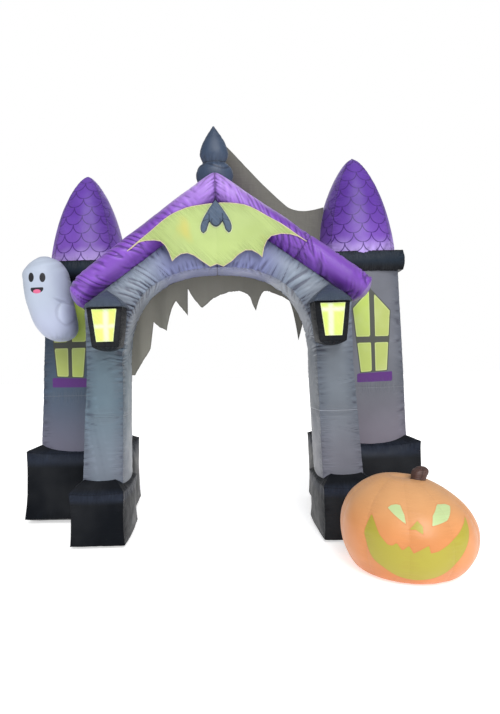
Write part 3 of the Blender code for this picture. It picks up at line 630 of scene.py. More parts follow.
# Many of these colours are painted light and shade laid into the cloth's colour: sheens, highlights,
# reflections, casts and shade.
INKS_AND_PAINTED_LIGHT = {  # colours that are printed on a cloth, or that its shade turns to
    "needle_line": (0.004, 0.004, 0.006),
    # painted shade at the bottoms of creases, then a painted highlight along their backs
    "crease": (0.40, 0.36, 0.44),
    "crease_back": (1.7, 1.7, 1.7),
    "foot_edge": (0.020, 0.026, 0.042),
    "panel_side": (0.52, 0.56, 0.64),
    "left_tower": (0.27, 0.38, 0.48),
    "right_tower": (0.71, 0.67, 0.65),
    "tower_foot": (0.185, 0.150, 0.200),
    "sill": (0.082, 0.018, 0.155),
    "window_frame": (0.062, 0.066, 0.055),
    "window_outer": (0.385, 0.450, 0.125),
    "window_inner": (0.425, 0.550, 0.105),
    "window_glow": (0.49, 0.56, 0.25),
    "window_rim": (0.66, 0.72, 0.42),
    "pale_seam": (0.38, 0.41, 0.47),
    "cornice_top": (0.012, 0.021, 0.034),
    "under_scale": (0.09, 0.02, 0.26),
    "scale_line": (0.040, 0.008, 0.135),
    "cone_middle": (0.34, 0.16, 0.64),
    "cone_foot": (0.56, 0.45, 0.80),
    "left_leg": (0.58, 0.76, 0.78),
    "right_leg": (0.78, 0.81, 0.79),
    "leg_foot": (0.190, 0.160, 0.205),
    "arch_crown": (0.145, 0.158, 0.390),
    "arch_haunch": (0.235, 0.300, 0.365),
    "arch_middle": (0.030, 0.025, 0.075),
    "roof_underside": (0.085, 0.018, 0.245),
    "roof_ridge": (0.46, 0.28, 0.74),
    "wing_ochre": (0.560, 0.430, 0.075),
    "wing_green": (0.430, 0.530, 0.240),
    "wing_rim": (0.72, 0.52, 0.44),
    "bat_ring": (0.66, 0.68, 0.55),
    "bat_line": (0.012, 0.018, 0.030),
    "lantern_cross": (0.74, 0.78, 0.78),
    "lantern_glow": (0.66, 0.72, 0.20),
    "lantern_rim": (0.85, 0.87, 0.55),
    "ghost_foot": (0.42, 0.42, 0.66),
    "eye": (0.010, 0.010, 0.014),
    "mouth": (0.012, 0.010, 0.016),
    "tongue": (0.620, 0.130, 0.250),
    "pumpkin_crown": (0.66, 0.42, 0.20),
    "pumpkin_foot": (0.52, 0.12, 0.03),
    "pumpkin_eye": (0.46, 0.58, 0.28),
    "pumpkin_mouth": (0.385, 0.335, 0.042),
    "pumpkin_line": (0.50, 0.13, 0.04),
    "faded_muslin": (0.05, 0.05, 0.04),
}


class Finish:
    """A material's node tree, with short ways to add to it."""

    def __init__(self, name):
        self.material = bpy.data.materials.new(name)
        self.material.use_nodes = True
        self.tree = self.material.node_tree
        self.shader = self.tree.nodes["Principled BSDF"]
        self.place = self.add("ShaderNodeTexCoord", {}).outputs["Object"]
        self.shade = (1, 1, 1)  # the colour so far

    def add(self, kind, inputs, **options):
        node = self.tree.nodes.new(kind)
        for option, value in options.items():
            setattr(node, option, value)
        for key, value in inputs.items():
            self.put(node.inputs[key], value)
        return node

    def put(self, socket, value):
        """Joins or sets a socket. A string is the name of a colour in the table of inks and painted light."""
        value = INKS_AND_PAINTED_LIGHT[value] if isinstance(value, str) else value
        if isinstance(value, bpy.types.NodeSocket):
            self.tree.links.new(value, socket)
        elif value is not None:
            if isinstance(value, (tuple, list)) and len(value) == 3 and socket.type == "RGBA":
                value = (*value, 1)
            socket.default_value = value

    def sum(self, operation, a, b=None):
        return self.add("ShaderNodeMath", {0: a, 1: b}, operation=operation).outputs[0]

    def times(self, a, b):
        return self.sum("MULTIPLY", a, b)

    def plus(self, a, b):
        return self.sum("ADD", a, b)

    def minus(self, a, b):
        return self.sum("SUBTRACT", a, b)

    def apart(self, a, b):
        """The distance between two values."""
        return self.sum("ABSOLUTE", self.minus(a, b))

    def kept(self, name):
        """A value that was kept with the mesh."""
        return self.add("ShaderNodeAttribute", {}, attribute_name=name).outputs["Fac"]

    def blend(self, share, a, b, way="MIX"):
        node = self.tree.nodes.new("ShaderNodeMix")
        node.data_type, node.blend_type = "RGBA", way
        for key, value in ((0, share), (6, a), (7, b)):
            self.put(node.inputs[key], value)
        return node.outputs[2]

    def fade(self, value, low, high, at_low=0.0, at_high=1.0):
        """Runs from at_low where value is low to at_high where it is high."""
        keys = {"Value": value, "From Min": low, "From Max": high, "To Min": at_low, "To Max": at_high}
        return self.add("ShaderNodeMapRange", keys, interpolation_type="SMOOTHSTEP").outputs["Result"]

    def near(self, value, low, high):
        """Runs from 1 where value is low to 0 where it is high."""
        return self.fade(value, low, high, 1.0, 0.0)

    def lay(self, share, colour, way="MIX"):
        """Turns the shade to the colour where share is 1."""
        self.shade = self.blend(share, self.shade, colour, way)

    def dye(self, share, strength, colour):
        """Turns the shade to that strength of the colour where share is 1; it lays printed colour and painted
        light and shade alike.
        """
        self.lay(self.times(share, strength), colour)

    def printed(self, away, colour, soft=0.001):
        """Lays the colour inside a printed outline."""
        self.lay(self.near(away, -soft, soft), colour)

    def surface(self, height, roughness, more, strength=1.0):
        """Joins the shade, relief in metres, roughness and further values to the shader."""
        bump = self.add("ShaderNodeBump", {"Strength": strength, "Distance": 1.0, "Height": height})
        values = {"Base Color": self.shade, "Normal": bump.outputs["Normal"], "Roughness": roughness, **more}
        for key, value in values.items():
            self.put(self.shader.inputs[key], value)
        return self.material

    def noise(self, vector, scale, detail=2.0, roughness=0.5, distortion=0.0):
        keys = {"Vector": vector, "Scale": scale, "Detail": detail, "Roughness": roughness}
        return self.add("ShaderNodeTexNoise", {**keys, "Distortion": distortion}).outputs["Fac"]

    def vector(self, x, y, z=0.0):
        return self.add("ShaderNodeCombineXYZ", {0: x, 1: y, 2: z}).outputs[0]

    def split(self):
        return self.add("ShaderNodeSeparateXYZ", {0: self.place}).outputs


def scaled(colour, share):
    """The colour times a share, or times a share for each of its channels."""
    shares = share if isinstance(share, tuple) else (share,) * 3
    return tuple(c * s for c, s in zip(colour, shares))


SEAM_LOOK = {  # metres from the seam, where two numbers are where a line starts to fade and where it ends
    "fold": (0.0012, 0.0042),
    "needle": 0.0085,
    "thread": (0.0004, 0.0012),
    "stitch": 0.0035,
    "gap": (0.0010, 0.0016),
    "creases": 0.11,
}
WEAVE = {"scale": 330.0, "height": 0.00004}


def nylon(
    name, colour, prints=None, rough=(0.36, 0.50), sheen=0.06, creases=1.0, wear=0.10, seam_dark=0.45,
    gloss=0.35, deepen=0.75,
):
    """Coated nylon taffeta: weave, stitched seams, fine creases with painted shade and painted highlights,
    uneven tone and a soft shine.
    """
    f = Finish(name)
    seam, stitch = f.kept("seam"), f.kept("stitch")
    uneven = f.noise(f.place, 1.7, 3.0, 0.55)
    darker = scaled(colour, 1 - wear)
    lighter = tuple(min(1, c * (1 + wear) + 0.012) for c in colour)
    f.shade = f.blend(f.fade(uneven, 0.35, 0.65), darker, lighter)
    if prints:
        prints(f)
    # Painted shade darkens the creases along their bottoms, and a painted highlight makes them paler along
    # their backs.
    drawn = f.kept("drawn")
    f.lay(f.fade(drawn, 0.0003, 0.0021, 0.0, deepen), "crease", "MULTIPLY")
    f.lay(f.fade(drawn, -0.0002, -0.0012, 0.0, 0.40 * deepen), "crease_back", "MULTIPLY")
    # The needle's line, a pressed fold beside it, and thread.
    fold = f.near(seam, *SEAM_LOOK["fold"])
    f.dye(fold, seam_dark, "needle_line")
    line = f.near(f.apart(seam, SEAM_LOOK["needle"]), *SEAM_LOOK["thread"])
    dash = f.fade(f.sum("PINGPONG", stitch, SEAM_LOOK["stitch"]), *SEAM_LOOK["gap"])
    thread = f.times(line, dash)
    f.dye(thread, min(0.30, 0.7 * seam_dark), "needle_line")
    # Faint painted shade darkens the creases beside the seams.
    crease = f.noise(f.vector(f.times(stitch, 62.0), f.times(seam, 9.0), 0.0), 1.0, 3.0, 0.6, 0.4)
    near = f.times(f.near(seam, 0.0, SEAM_LOOK["creases"]), f.minus(1.0, f.kept("meeting")))
    folds = f.fade(crease, 0.42, 0.58)
    f.dye(folds, f.times(near, 0.24 * min(1, creases)), scaled(colour, 0.55))

    slack = f.noise(f.place, 9.0, 4.0, 0.55, 0.6)
    threads = {"Vector": f.place, "Scale": WEAVE["scale"], "Distortion": 1.0, "Detail": 1.0}
    weave = f.add("ShaderNodeTexWave", threads, bands_direction="DIAGONAL").outputs["Fac"]
    height = f.times(f.times(folds, near), -0.0017 * creases)
    height = f.plus(height, f.times(slack, 0.0022 * creases))
    height = f.plus(height, f.times(weave, WEAVE["height"]))
    height = f.minus(height, f.times(fold, 0.0018 * min(1, 0.1 + 2 * seam_dark)))
    height = f.minus(height, f.times(thread, 0.0003))
    shine = {"Sheen Weight": sheen, "Sheen Roughness": 0.45, "Specular IOR Level": gloss}
    return f.surface(height, f.fade(slack, 0.3, 0.7, *rough), shine)


# ---- feet ----

FOOT_SHAPE = {  # sole's lift and inset, the top's corners, how the top draws in and the outer side spreads
    "front": {"lift": 0.022, "inset": 0.045, "ear": 0.012, "draw": 0.0, "spread": 0.0, "right_out": 0.0},
    "rear": {"lift": 0.045, "inset": 0.16, "ear": 0.03, "draw": 0.045, "spread": 0.025, "right_out": 0.025},
}
FOOT_ROUND_FROM, FOOT_STEP = 0.78, 1.7  # share of the height, and steps of the mesh


def make_foot(which, row):
    sizes, look, shape = settings().feet, settings().look, FOOT_SHAPE[row]
    side = SIDES[which]
    width, deep, edge, crown, centre = (
        getattr(sizes, f"{row}_{key}") for key in ("width", "depth", "edge", "crown", "centre")
    )
    start = sizes.rear_front if row == "rear" else 0.0
    centre += shape["right_out"] if which == "right" else 0
    step = look.mesh_step * FOOT_STEP
    place, panel = panel_places(width, deep, step)
    sole_steps = max(3, round(shape["inset"] / step))
    sole = np.linspace(0, 1, sole_steps + 1)[:-1]
    share = np.concatenate([0 * sole, np.linspace(0, 1, round(edge / step))])[:, None]
    swell = swell_at(share)
    pinch = sizes.pinch * swell
    rounded = np.maximum(0, share - FOOT_ROUND_FROM) / (1 - FOOT_ROUND_FROM)
    puff = sizes.puff * mix(sizes.puff_at_edge, 1, swell) + pinch - shape["draw"] * rounded**2
    half_width = (width + shape["spread"] * (1 - share)) / 2 - pinch
    u, v = section(half_width, deep / 2 - pinch, puff, puff, place, panel)
    sideways = np.minimum(1, np.abs(u) / (width / 2))
    z = mix(shape["lift"], edge, share) + shape["ear"] * share**3 * sideways**3
    # Below its lower seam the sole curves in to where it stands.
    reach = np.concatenate([sole, np.ones(len(share) - sole_steps)])[:, None]
    inset = mix(1 - 2 * shape["inset"] / width, 1, reach)
    z = z * reach**1.5
    x = side * (centre + shape["spread"] * (1 - share) / 2) + u * inset
    rows = points_of(x, start + deep / 2 + v * inset, z)
    top = {"end_rise": (0, 0, crown), "steps": round(width / 2 / step), "rims": (0, 1)}
    made = skin(rows, columns=corner_columns(place), crossings=[sole_steps], **top)
    seed = (31 if row == "rear" else 47) + 7 * side
    depth = gathers(made, seed, (0.25, 0.45), 2) + uneven(made, 0.003, 0.14, 0.19, seed + 90)
    return mesh_piece(sewn(f"{row}_base_{which}"), made, depth, {"upper": made["rows"][..., 2] / edge})


def feet_painted_sheen(f):
    """A painted highlight: the rounded edge at the top catches a blue sheen."""
    upper = f.kept("upper")
    lit = f.times(f.fade(upper, 0.80, 0.93), f.fade(upper, 1.10, 0.98))
    f.dye(lit, 0.75, "foot_edge")


class GATEWAY_OT_feet(bpy.types.Operator):
    """Sews the four black feet: each is a blown-up block with gathered edges and raised corners"""

    bl_idname = "gateway.feet"
    bl_label = "Feet"

    def execute(self, context):
        matt = {"rough": (0.34, 0.48), "sheen": 0.0, "creases": 0.8, "gloss": 0.06}
        black = nylon("black_feet", settings().look.black, feet_painted_sheen, **matt)
        for which in SIDES:
            rear = make_foot(which, "rear")
            front = make_foot(which, "front")
            trim(front, [rear.name])
            for piece in (rear, front):
                finish_piece(piece, black)
        return {"FINISHED"}


# ---- towers, cornices and cones ----

TOWER_PLACES = {  # X out from the middle, heights, and where the bars of the window cross
    "left": {
        "base_x": 1.185, "top_x": 1.122, "cornice": 1.982, "tip": 2.938, "tip_x": 1.111,
        "bar_x": 1.230, "bar_z": 1.452,
    },
    "right": {
        "base_x": 1.215, "top_x": 1.205, "cornice": 1.997, "tip": 3.030, "tip_x": 1.210,
        "bar_x": 1.262, "bar_z": 1.430,
    },
}
TOWER_STEPS = {"across": 1.25, "up": 1.15}  # steps of the mesh
CONE_MESH = {"across": 1.3, "rows": 1.3}
CONE_SHAPE = {"half": {"left": 0.246, "right": 0.259}, "taper": 0.7, "fullness": 0.46, "closer_up": 1.25}
# Corners of the window and its sill, from where the bars cross.
WINDOW = ((-0.112, -0.275), (0.117, -0.262), (0.160, 0.238), (-0.012, 0.424), (-0.163, 0.262))
SILL = ((-0.139, -0.350), (0.154, -0.345), (0.154, -0.266), (-0.137, -0.277))
BARS = {"half_above": 0.0205, "half_below": 0.0155, "half_height": 0.025, "inset": 0.008}


def make_tower(which):
    sizes, look = settings().towers, settings().look
    side = SIDES[which]
    at = TOWER_PLACES[which]
    top = at["cornice"] + sizes.cornice_height / 2
    width = 2 * sizes.half_base
    place, panel = panel_places(width, width, look.mesh_step * TOWER_STEPS["across"])
    share = np.linspace(0, 1, round((top - sizes.bottom) / (look.mesh_step * TOWER_STEPS["up"])))[:, None]
    half = mix(sizes.half_base, sizes.half_top, share)
    u, v = section(half, half, sizes.puff, sizes.puff, place, panel)
    z = mix(sizes.bottom, top, share) + 0 * u
    rows = points_of(side * mix(at["base_x"], at["top_x"], share) + u, sizes.depth_centre + v, z)
    seam_row = int(np.argmin(np.abs(z[:, 0] - sizes.cross_seam)))
    made = skin(rows, steps=2, columns=corner_columns(place), crossings=[seam_row], rims=(0, 0))
    seed = 120 + 9 * side
    depth = gathers(made, seed, (0.70, 0.10), 3, 0.75) + valley(made["seams"][-1][0], 0.0010, 0.006)
    depth = depth + uneven(made, 0.003, 0.30, 0.22, seed + 80)
    px, pz = made["rows"][..., 0] * side - at["bar_x"], made["rows"][..., 2] - at["bar_z"]
    front = np.broadcast_to(panel == 0, px.shape)
    window = outside(px, pz, WINDOW)
    bar = np.where(pz > 0, BARS["half_above"], BARS["half_below"])
    pane = np.maximum.reduce([window + BARS["inset"], bar - np.abs(px), BARS["half_height"] - np.abs(pz)])
    values = {
        "window": np.where(front, window, FAR),
        "pane": np.where(front, pane, FAR),
        "sill": np.where(front, outside(px, pz, SILL), FAR),
        "pane_side": px,
        "corner": corner_away(made),
    }
    return mesh_piece(sewn("tower_" + which), made, depth, values)


def corner_away(made):
    """The distance from the nearest of the four upright seams."""
    return np.minimum.reduce([seam[0] for seam in made["seams"][: made["lengthwise"]]])


def round_shade(f):
    """Painted shade: a panel is palest down its middle and darker towards its corner seams."""
    f.lay(f.fade(f.kept("corner"), 0.10, 0.0, 0.0, 0.60), "panel_side", "MULTIPLY")


def tower_prints_and_painted_light(f):
    """A window with four panes and a sill, printed on the front panel, with painted light and shade: the left
    tower darker than the right, panels darker towards their corners, a mauve cast low down, panes that differ
    in tone by side and height, and a pale seam.
    """
    x, _, z = f.split()
    # Painted shade: the left tower is much darker than the right.
    side = f.blend(f.fade(x, -0.2, 0.2), "left_tower", "right_tower")
    f.lay(1.0, side, "MULTIPLY")
    round_shade(f)
    # Painted mauve cast of reflected light low down.
    f.dye(f.fade(z, 1.15, 0.55), 0.45, "tower_foot")
    pane = f.kept("pane")
    f.printed(f.kept("sill"), "sill")
    f.printed(f.kept("window"), "window_frame")
    # Painted light and shade on the panes: the inner ones take another tone, most near the top.
    inner = f.times(f.fade(f.kept("pane_side"), 0.01, -0.01), f.fade(z, 1.30, 1.70, 0.35, 1.0))
    glass = f.blend(inner, "window_outer", "window_inner")
    glass = f.blend(f.fade(f.noise(f.place, 5.0, 2.0), 0.45, 0.70, 0.0, 0.30), glass, "window_glow")
    f.printed(pane, glass)
    f.dye(f.near(f.apart(pane, -0.005), 0.0015, 0.0035), 0.30, "window_rim")
    pale_seam(f, z, settings().towers.cross_seam, 0.12)


def pale_seam(f, z, height, strength):
    """The pale line of a level seam, where its edge catches the light."""
    f.dye(f.near(f.apart(z, height), 0.0015, 0.0040), strength, "pale_seam")


CORNICE = {"rows": 1.3, "cap_rings": 18}


def make_cornice(which):
    sizes, look = settings().towers, settings().look
    top_x, bottom = TOWER_PLACES[which]["top_x"], TOWER_PLACES[which]["cornice"]
    width = 2 * sizes.cornice_half
    place, panel = panel_places(width, width, look.mesh_step * TOWER_STEPS["across"])
    share = np.linspace(0, 1, round(sizes.cornice_height * CORNICE["rows"] / look.mesh_step))[:, None]
    swell = swell_at(share)
    half = sizes.cornice_half + sizes.cornice_puff * swell / 2
    puff = sizes.cornice_puff * (1 + swell) / 2
    u, v = section(half, half, puff, puff, place, panel)
    z = bottom + sizes.cornice_height * share + 0 * u
    rows = points_of(SIDES[which] * top_x + u, sizes.depth_centre + v, z)
    rise = np.array([0, 0, sizes.cornice_puff / 2])
    made = skin(rows, -rise, rise, steps=CORNICE["cap_rings"], columns=corner_columns(place))
    depth = gathers(made, 200 + 5 * SIDES[which], (0.65,))
    upper = (made["rows"][..., 2] - bottom) / sizes.cornice_height
    return mesh_piece(sewn("cornice_" + which), made, depth, {"upper": upper})


def cornice_painted_sheen(f):
    """A painted blue sheen: the upper half is a dark blue and the lower half nearly black."""
    upper = f.kept("upper")
    lit = f.times(f.fade(upper, 0.10, 0.50), f.fade(upper, 1.02, 0.88))
    f.dye(lit, 0.85, "cornice_top")


def cone_half_at(share, which):
    """Half a cone's width at a share of its height."""
    full = 1 + CONE_SHAPE["fullness"] * share
    return CONE_SHAPE["half"][which] * (1 - share) ** CONE_SHAPE["taper"] * full


def make_cone(which):
    sizes, look = settings().towers, settings().look
    side = SIDES[which]
    at = TOWER_PLACES[which]
    cornice, top = at["cornice"], at["tip"]
    bottom = cornice + sizes.cornice_height * sizes.cone_seat
    base = 2 * cone_half_at(0, which)
    place, panel = panel_places(base, base, look.mesh_step * CONE_MESH["across"])
    count = round((top - bottom) * CONE_MESH["rows"] / look.mesh_step)
    rounding = np.linspace(0, math.pi / 2, count)[:-1, None]
    share = np.sin(rounding) ** CONE_SHAPE["closer_up"]
    half = cone_half_at(share, which)
    u, v = section(half, half, sizes.cone_puff * half, sizes.cone_puff * half, place, panel)
    z = mix(bottom, top, share) + 0 * u
    rows = points_of(side * mix(at["top_x"], at["tip_x"], share) + u, sizes.depth_centre + v, z)
    tip = (0, 0, (top - bottom) * float(1 - share[-1, 0]))
    made = skin(rows, end_rise=tip, steps=2, columns=corner_columns(place), rims=(0, 0))
    seed = 260 + 5 * side
    height = made["rows"][..., 2]
    base_away = np.maximum(0, height - cornice - sizes.cornice_height)
    depth = gathers(made, seed, (0.55,)) + puckers(base_away, made["across"], seed + 20, 0.8)
    steps_up = np.concatenate([[0] * made["cap"], share[:, 0], [1] * made["cap"]])[:, None]
    panel_x = SCALE["spread"] * place * cone_half_at(steps_up, which) + 0 * height
    values = {"panel_x": panel_x, "panel_z": height - cornice, "panel_number": panel + 0.0 * height}
    return mesh_piece(sewn("cone_" + which), made, depth, values)


SCALE = {"wide": 0.158, "step": 0.079, "line": 0.034, "spread": 1.08, "panel_shift": 0.27, "first": 40.0}


def cone_prints_and_painted_light(f):
    """Rows of round-ended roof scales in fine dark lines, each row set half a scale aside, over painted
    light: a lighter purple low on the cone and a pale painted reflection at its foot.
    """
    across = f.plus(f.sum("DIVIDE", f.kept("panel_x"), SCALE["wide"]), SCALE["first"])
    across = f.plus(across, f.times(f.kept("panel_number"), SCALE["panel_shift"]))
    up = f.plus(f.sum("DIVIDE", f.kept("panel_z"), SCALE["step"]), SCALE["first"])
    row = f.sum("FLOOR", up)
    fall = f.minus(f.plus(row, 1.0), up)
    shifted = f.plus(across, f.times(row, 0.5))
    aside = f.sum("ABSOLUTE", f.times(f.minus(f.sum("FRACT", shifted), 0.5), 2.0))
    round_way = f.sum("SQRT", f.plus(f.sum("POWER", aside, 2.0), f.sum("POWER", fall, 2.0)))
    line = f.near(f.apart(round_way, 1.0), SCALE["line"], SCALE["line"] * 2.3)
    under = f.times(f.fade(round_way, 0.55, 1.0), f.near(round_way, 1.0, 1.02))
    f.dye(under, 0.18, "under_scale")
    # Painted light: a lighter purple low on the cone, and a pale painted reflection at its foot.
    f.dye(f.fade(f.kept("panel_z"), 0.62, 0.16), 0.30, "cone_middle")
    base = f.fade(f.minus(f.kept("panel_z"), f.times(f.noise(f.place, 5.0), 0.16)), 0.22, 0.08)
    f.dye(base, 0.50, "cone_foot")
    f.dye(line, 0.88, "scale_line")


class GATEWAY_OT_towers(bpy.types.Operator):
    """Sews both towers with their cornices and cones, each pressed on the piece below it"""

    bl_idname = "gateway.towers"
    bl_label = "Towers, cornices and cones"

    def execute(self, context):
        look = settings().look
        grey = nylon("grey_towers", look.grey, tower_prints_and_painted_light, creases=0.9, seam_dark=0.12)
        black = nylon("black_cornices", look.black, cornice_painted_sheen, rough=(0.34, 0.46), sheen=0.0, gloss=0.12)
        violet = scaled(look.purple, (0.56, 0.52, 0.76))
        purple = nylon("purple_cones", violet, cone_prints_and_painted_light, rough=(0.34, 0.46), sheen=0.03, deepen=0.5)
        for which in SIDES:
            cornice = make_cornice(which)
            tower = trim(make_tower(which), [sewn("rear_base_" + which), cornice.name])
            cone = trim(make_cone(which), [cornice.name])
            finish_piece(cornice, black)
            finish_piece(tower, grey)
            finish_piece(cone, purple)
        return {"FINISHED"}


# ---- arch ----

ARCH_MESH = {"row": 1.3, "column": 1.2, "turns": 205, "girth": 0.34}
HAUNCH = {  # in degrees round the opening from its spring: where the inner seams gather most
    "from": -12, "over": 30, "ease_from": 48, "ease_over": 26, "ease_by": 0.80,
    "gather": 1.5, "crease": 0.0110, "pitch": 0.030, "lean": 0.30, "reach": 0.06, "further": 0.17,
}


def arch_edges(sizes, levels, angle):
    """The (x, z) edges of the opening and of the arch's outside, from the left foot to the right one."""
    cosine, sine = np.cos(angle), np.sin(angle)
    reach = (cosine / sizes.spring_in) ** sizes.power + (sine / sizes.rise) ** sizes.power
    gable = (sizes.top - sizes.spring) / (sine + sizes.slope * cosine)
    upright = sizes.spring_out < gable * cosine
    outer = np.where(upright, sizes.spring_out / np.maximum(cosine, 1e-6), gable)
    edges = []
    for foot, spring, radius in (
        (sizes.leg_in, sizes.spring_in, reach ** (-1 / sizes.power)),
        (sizes.leg_out, sizes.spring_out, outer),
    ):
        leg = np.stack([mix(foot, spring, levels), mix(sizes.leg_bottom, sizes.spring, levels)], 1)
        edge = np.concatenate([leg, np.stack([radius * cosine, sizes.spring + radius * sine], 1)])
        edges.append(np.concatenate([edge, edge[-2::-1] * np.array([-1, 1])])[:, None, :])
    return edges


def make_arch():
    sizes, look = settings().arch, settings().look
    leg_rows = round((sizes.spring - sizes.leg_bottom) * ARCH_MESH["row"] / look.mesh_step)
    levels = np.linspace(0, 1, leg_rows)[:-1]
    inside, outline = arch_edges(sizes, levels, np.linspace(0, math.pi / 2, ARCH_MESH["turns"]))
    across = outline - inside
    width = np.linalg.norm(across, axis=2)
    across = across / width[..., None]
    middle = (inside + outline) / 2
    place, panel = panel_places(ARCH_MESH["girth"], sizes.depth, look.mesh_step * ARCH_MESH["column"])
    puff = sizes.puff_across / 2
    u, v = section(width / 2 - puff, sizes.depth / 2 + 0 * width, puff, sizes.puff_deep, place, panel)
    x = middle[..., 0] + across[..., 0] * u
    z = middle[..., 1] + across[..., 1] * u
    rows = points_of(x, sizes.front + sizes.depth / 2 + v, z)
    height = inside[:, 0, 1]
    half = len(height) // 2
    leg_seam = int(np.argmin(np.abs(height[:half] - sizes.leg_seam)))
    crossings = [leg_seam, half, len(height) - 1 - leg_seam]
    made = skin(rows, steps=2, columns=corner_columns(place), crossings=crossings, rims=(0, 0))
    # The inner seam of the haunch gathers most, because the opening is tightest there.
    turning = np.degrees(np.arctan2(height - sizes.spring, np.abs(inside[:, 0, 0])))
    eased = HAUNCH["ease_by"] * ease((turning - HAUNCH["ease_from"]) / HAUNCH["ease_over"])
    bend = ease((turning - HAUNCH["from"]) / HAUNCH["over"]) * (1 - eased)
    bend = np.pad(bend, made["cap"])[:, None]
    station = made["along"][:, :1] + 0 * made["along"]
    depth = 0
    for i, (away, along) in enumerate(made["seams"]):
        if i in (0, 3):  # inner seams, in front and behind
            depth = depth + puckers(away, station, 300 + i, 0.65 + HAUNCH["gather"] * bend, 0.62)
            slanted = station + HAUNCH["lean"] * away * np.sign(made["rows"][..., 0])
            long_reach = narrow(away, HAUNCH["reach"] + HAUNCH["further"] * bend)
            long_crease = narrow(wander(slanted / HAUNCH["pitch"], away / 0.30, 340 + i), 0.32)
            patch = ease(0.5 + 1.1 * wander(station / 0.16, away / 0.25, 345 + i))
            depth = depth + HAUNCH["crease"] * bend * patch * long_reach * long_crease
        elif i < 4:
            depth = depth + puckers(away, station, 300 + i, 0.85, 0.7)
        else:
            apex = i == 5
            depth = depth + puckers(away, along, 320 + i, 0.8 if apex else 0.06)
            depth = depth + valley(away, 0.004 if apex else 0.0006, 0.006)
    depth = depth + uneven(made, 0.0035, 0.24, 0.2, 371)
    return mesh_piece(sewn("arch"), made, depth, {"corner": corner_away(made), "stitch": station})


def arch_seam_and_painted_light(f):
    """Painted light and shade: the arch's soffit and crown take a painted mauve cast from the lit cloth about
    them, the haunches are painted paler, and the legs are painted in shade, the left more than the right,
    with a mauve cast low down.
    """
    look, arch = settings().look, settings().arch
    x, _, z = f.split()
    aside = f.apart(x, look.middle)
    # Painted shade on the legs below the spring, deeper on the left one.
    legs = f.blend(f.fade(x, -0.4, 0.4), "left_leg", "right_leg")
    f.lay(f.fade(z, 1.75, 1.25), f.blend(1.0, f.shade, legs, "MULTIPLY"))
    round_shade(f)
    # Painted mauve cast of reflected light at the crown, and paler painted light on the haunches.
    crown = f.times(f.fade(z, 1.70, 1.98), f.fade(aside, 0.62, 0.30))
    f.dye(crown, 0.60, "arch_crown")
    haunch = f.times(f.fade(z, 1.62, 1.90), f.fade(aside, 0.30, 0.55))
    f.dye(haunch, 0.35, "arch_haunch")
    # Painted mauve cast low on the legs.
    f.dye(f.fade(z, 1.05, 0.50), 0.30, "leg_foot")
    pale_seam(f, z, arch.leg_seam, f.fade(x, -0.1, 0.1, 0.06, 0.55))
    middle = f.times(f.near(aside, 0.0015, 0.0050), f.fade(z, 1.88, 1.92))
    f.dye(middle, 0.70, "arch_middle")


class GATEWAY_OT_arch(bpy.types.Operator):
    """Sews the grey arch: two legs that spread and a round opening, with gathered haunches"""

    bl_idname = "gateway.arch"
    bl_label = "Arch"

    def execute(self, context):
        grey = nylon("grey_arch", settings().look.grey, arch_seam_and_painted_light, creases=1.1, seam_dark=0.14)
        feet = [sewn(f"{row}_base_{which}") for row in ("front", "rear") for which in SIDES]
        arch = trim(make_arch(), feet, [make_wing_room()])
        finish_piece(arch, grey)
        return {"FINISHED"}


# ---- gable roof and finial ----

ROOF_SHAPE = {"power": 2.5, "end_dome": 0.060, "pinch": 0.045, "pinch_reach": 0.06, "turn_reach": 0.22}
ROOF_ENDS = {"from": 0.88, "taper": 0.15, "left_droop": 0.016, "right_droop": -0.018, "right_reach": 0.025}


ROOF_MESH = {"row": 1.40, "column": 0.82, "cap_rings": 14, "calm_rows": 6}
ROOF_CREASES = {
    "deep": 0.0115, "pitch": 0.036, "across": 0.16, "lean": 0.47, "sag_from": 0.38, "sag_over": 0.16,
}
WING_GATHERS = {"deep": 0.0040, "pitch": 0.022, "from": 0.10, "to": 0.66, "fade": 0.06, "behind": 0.12}


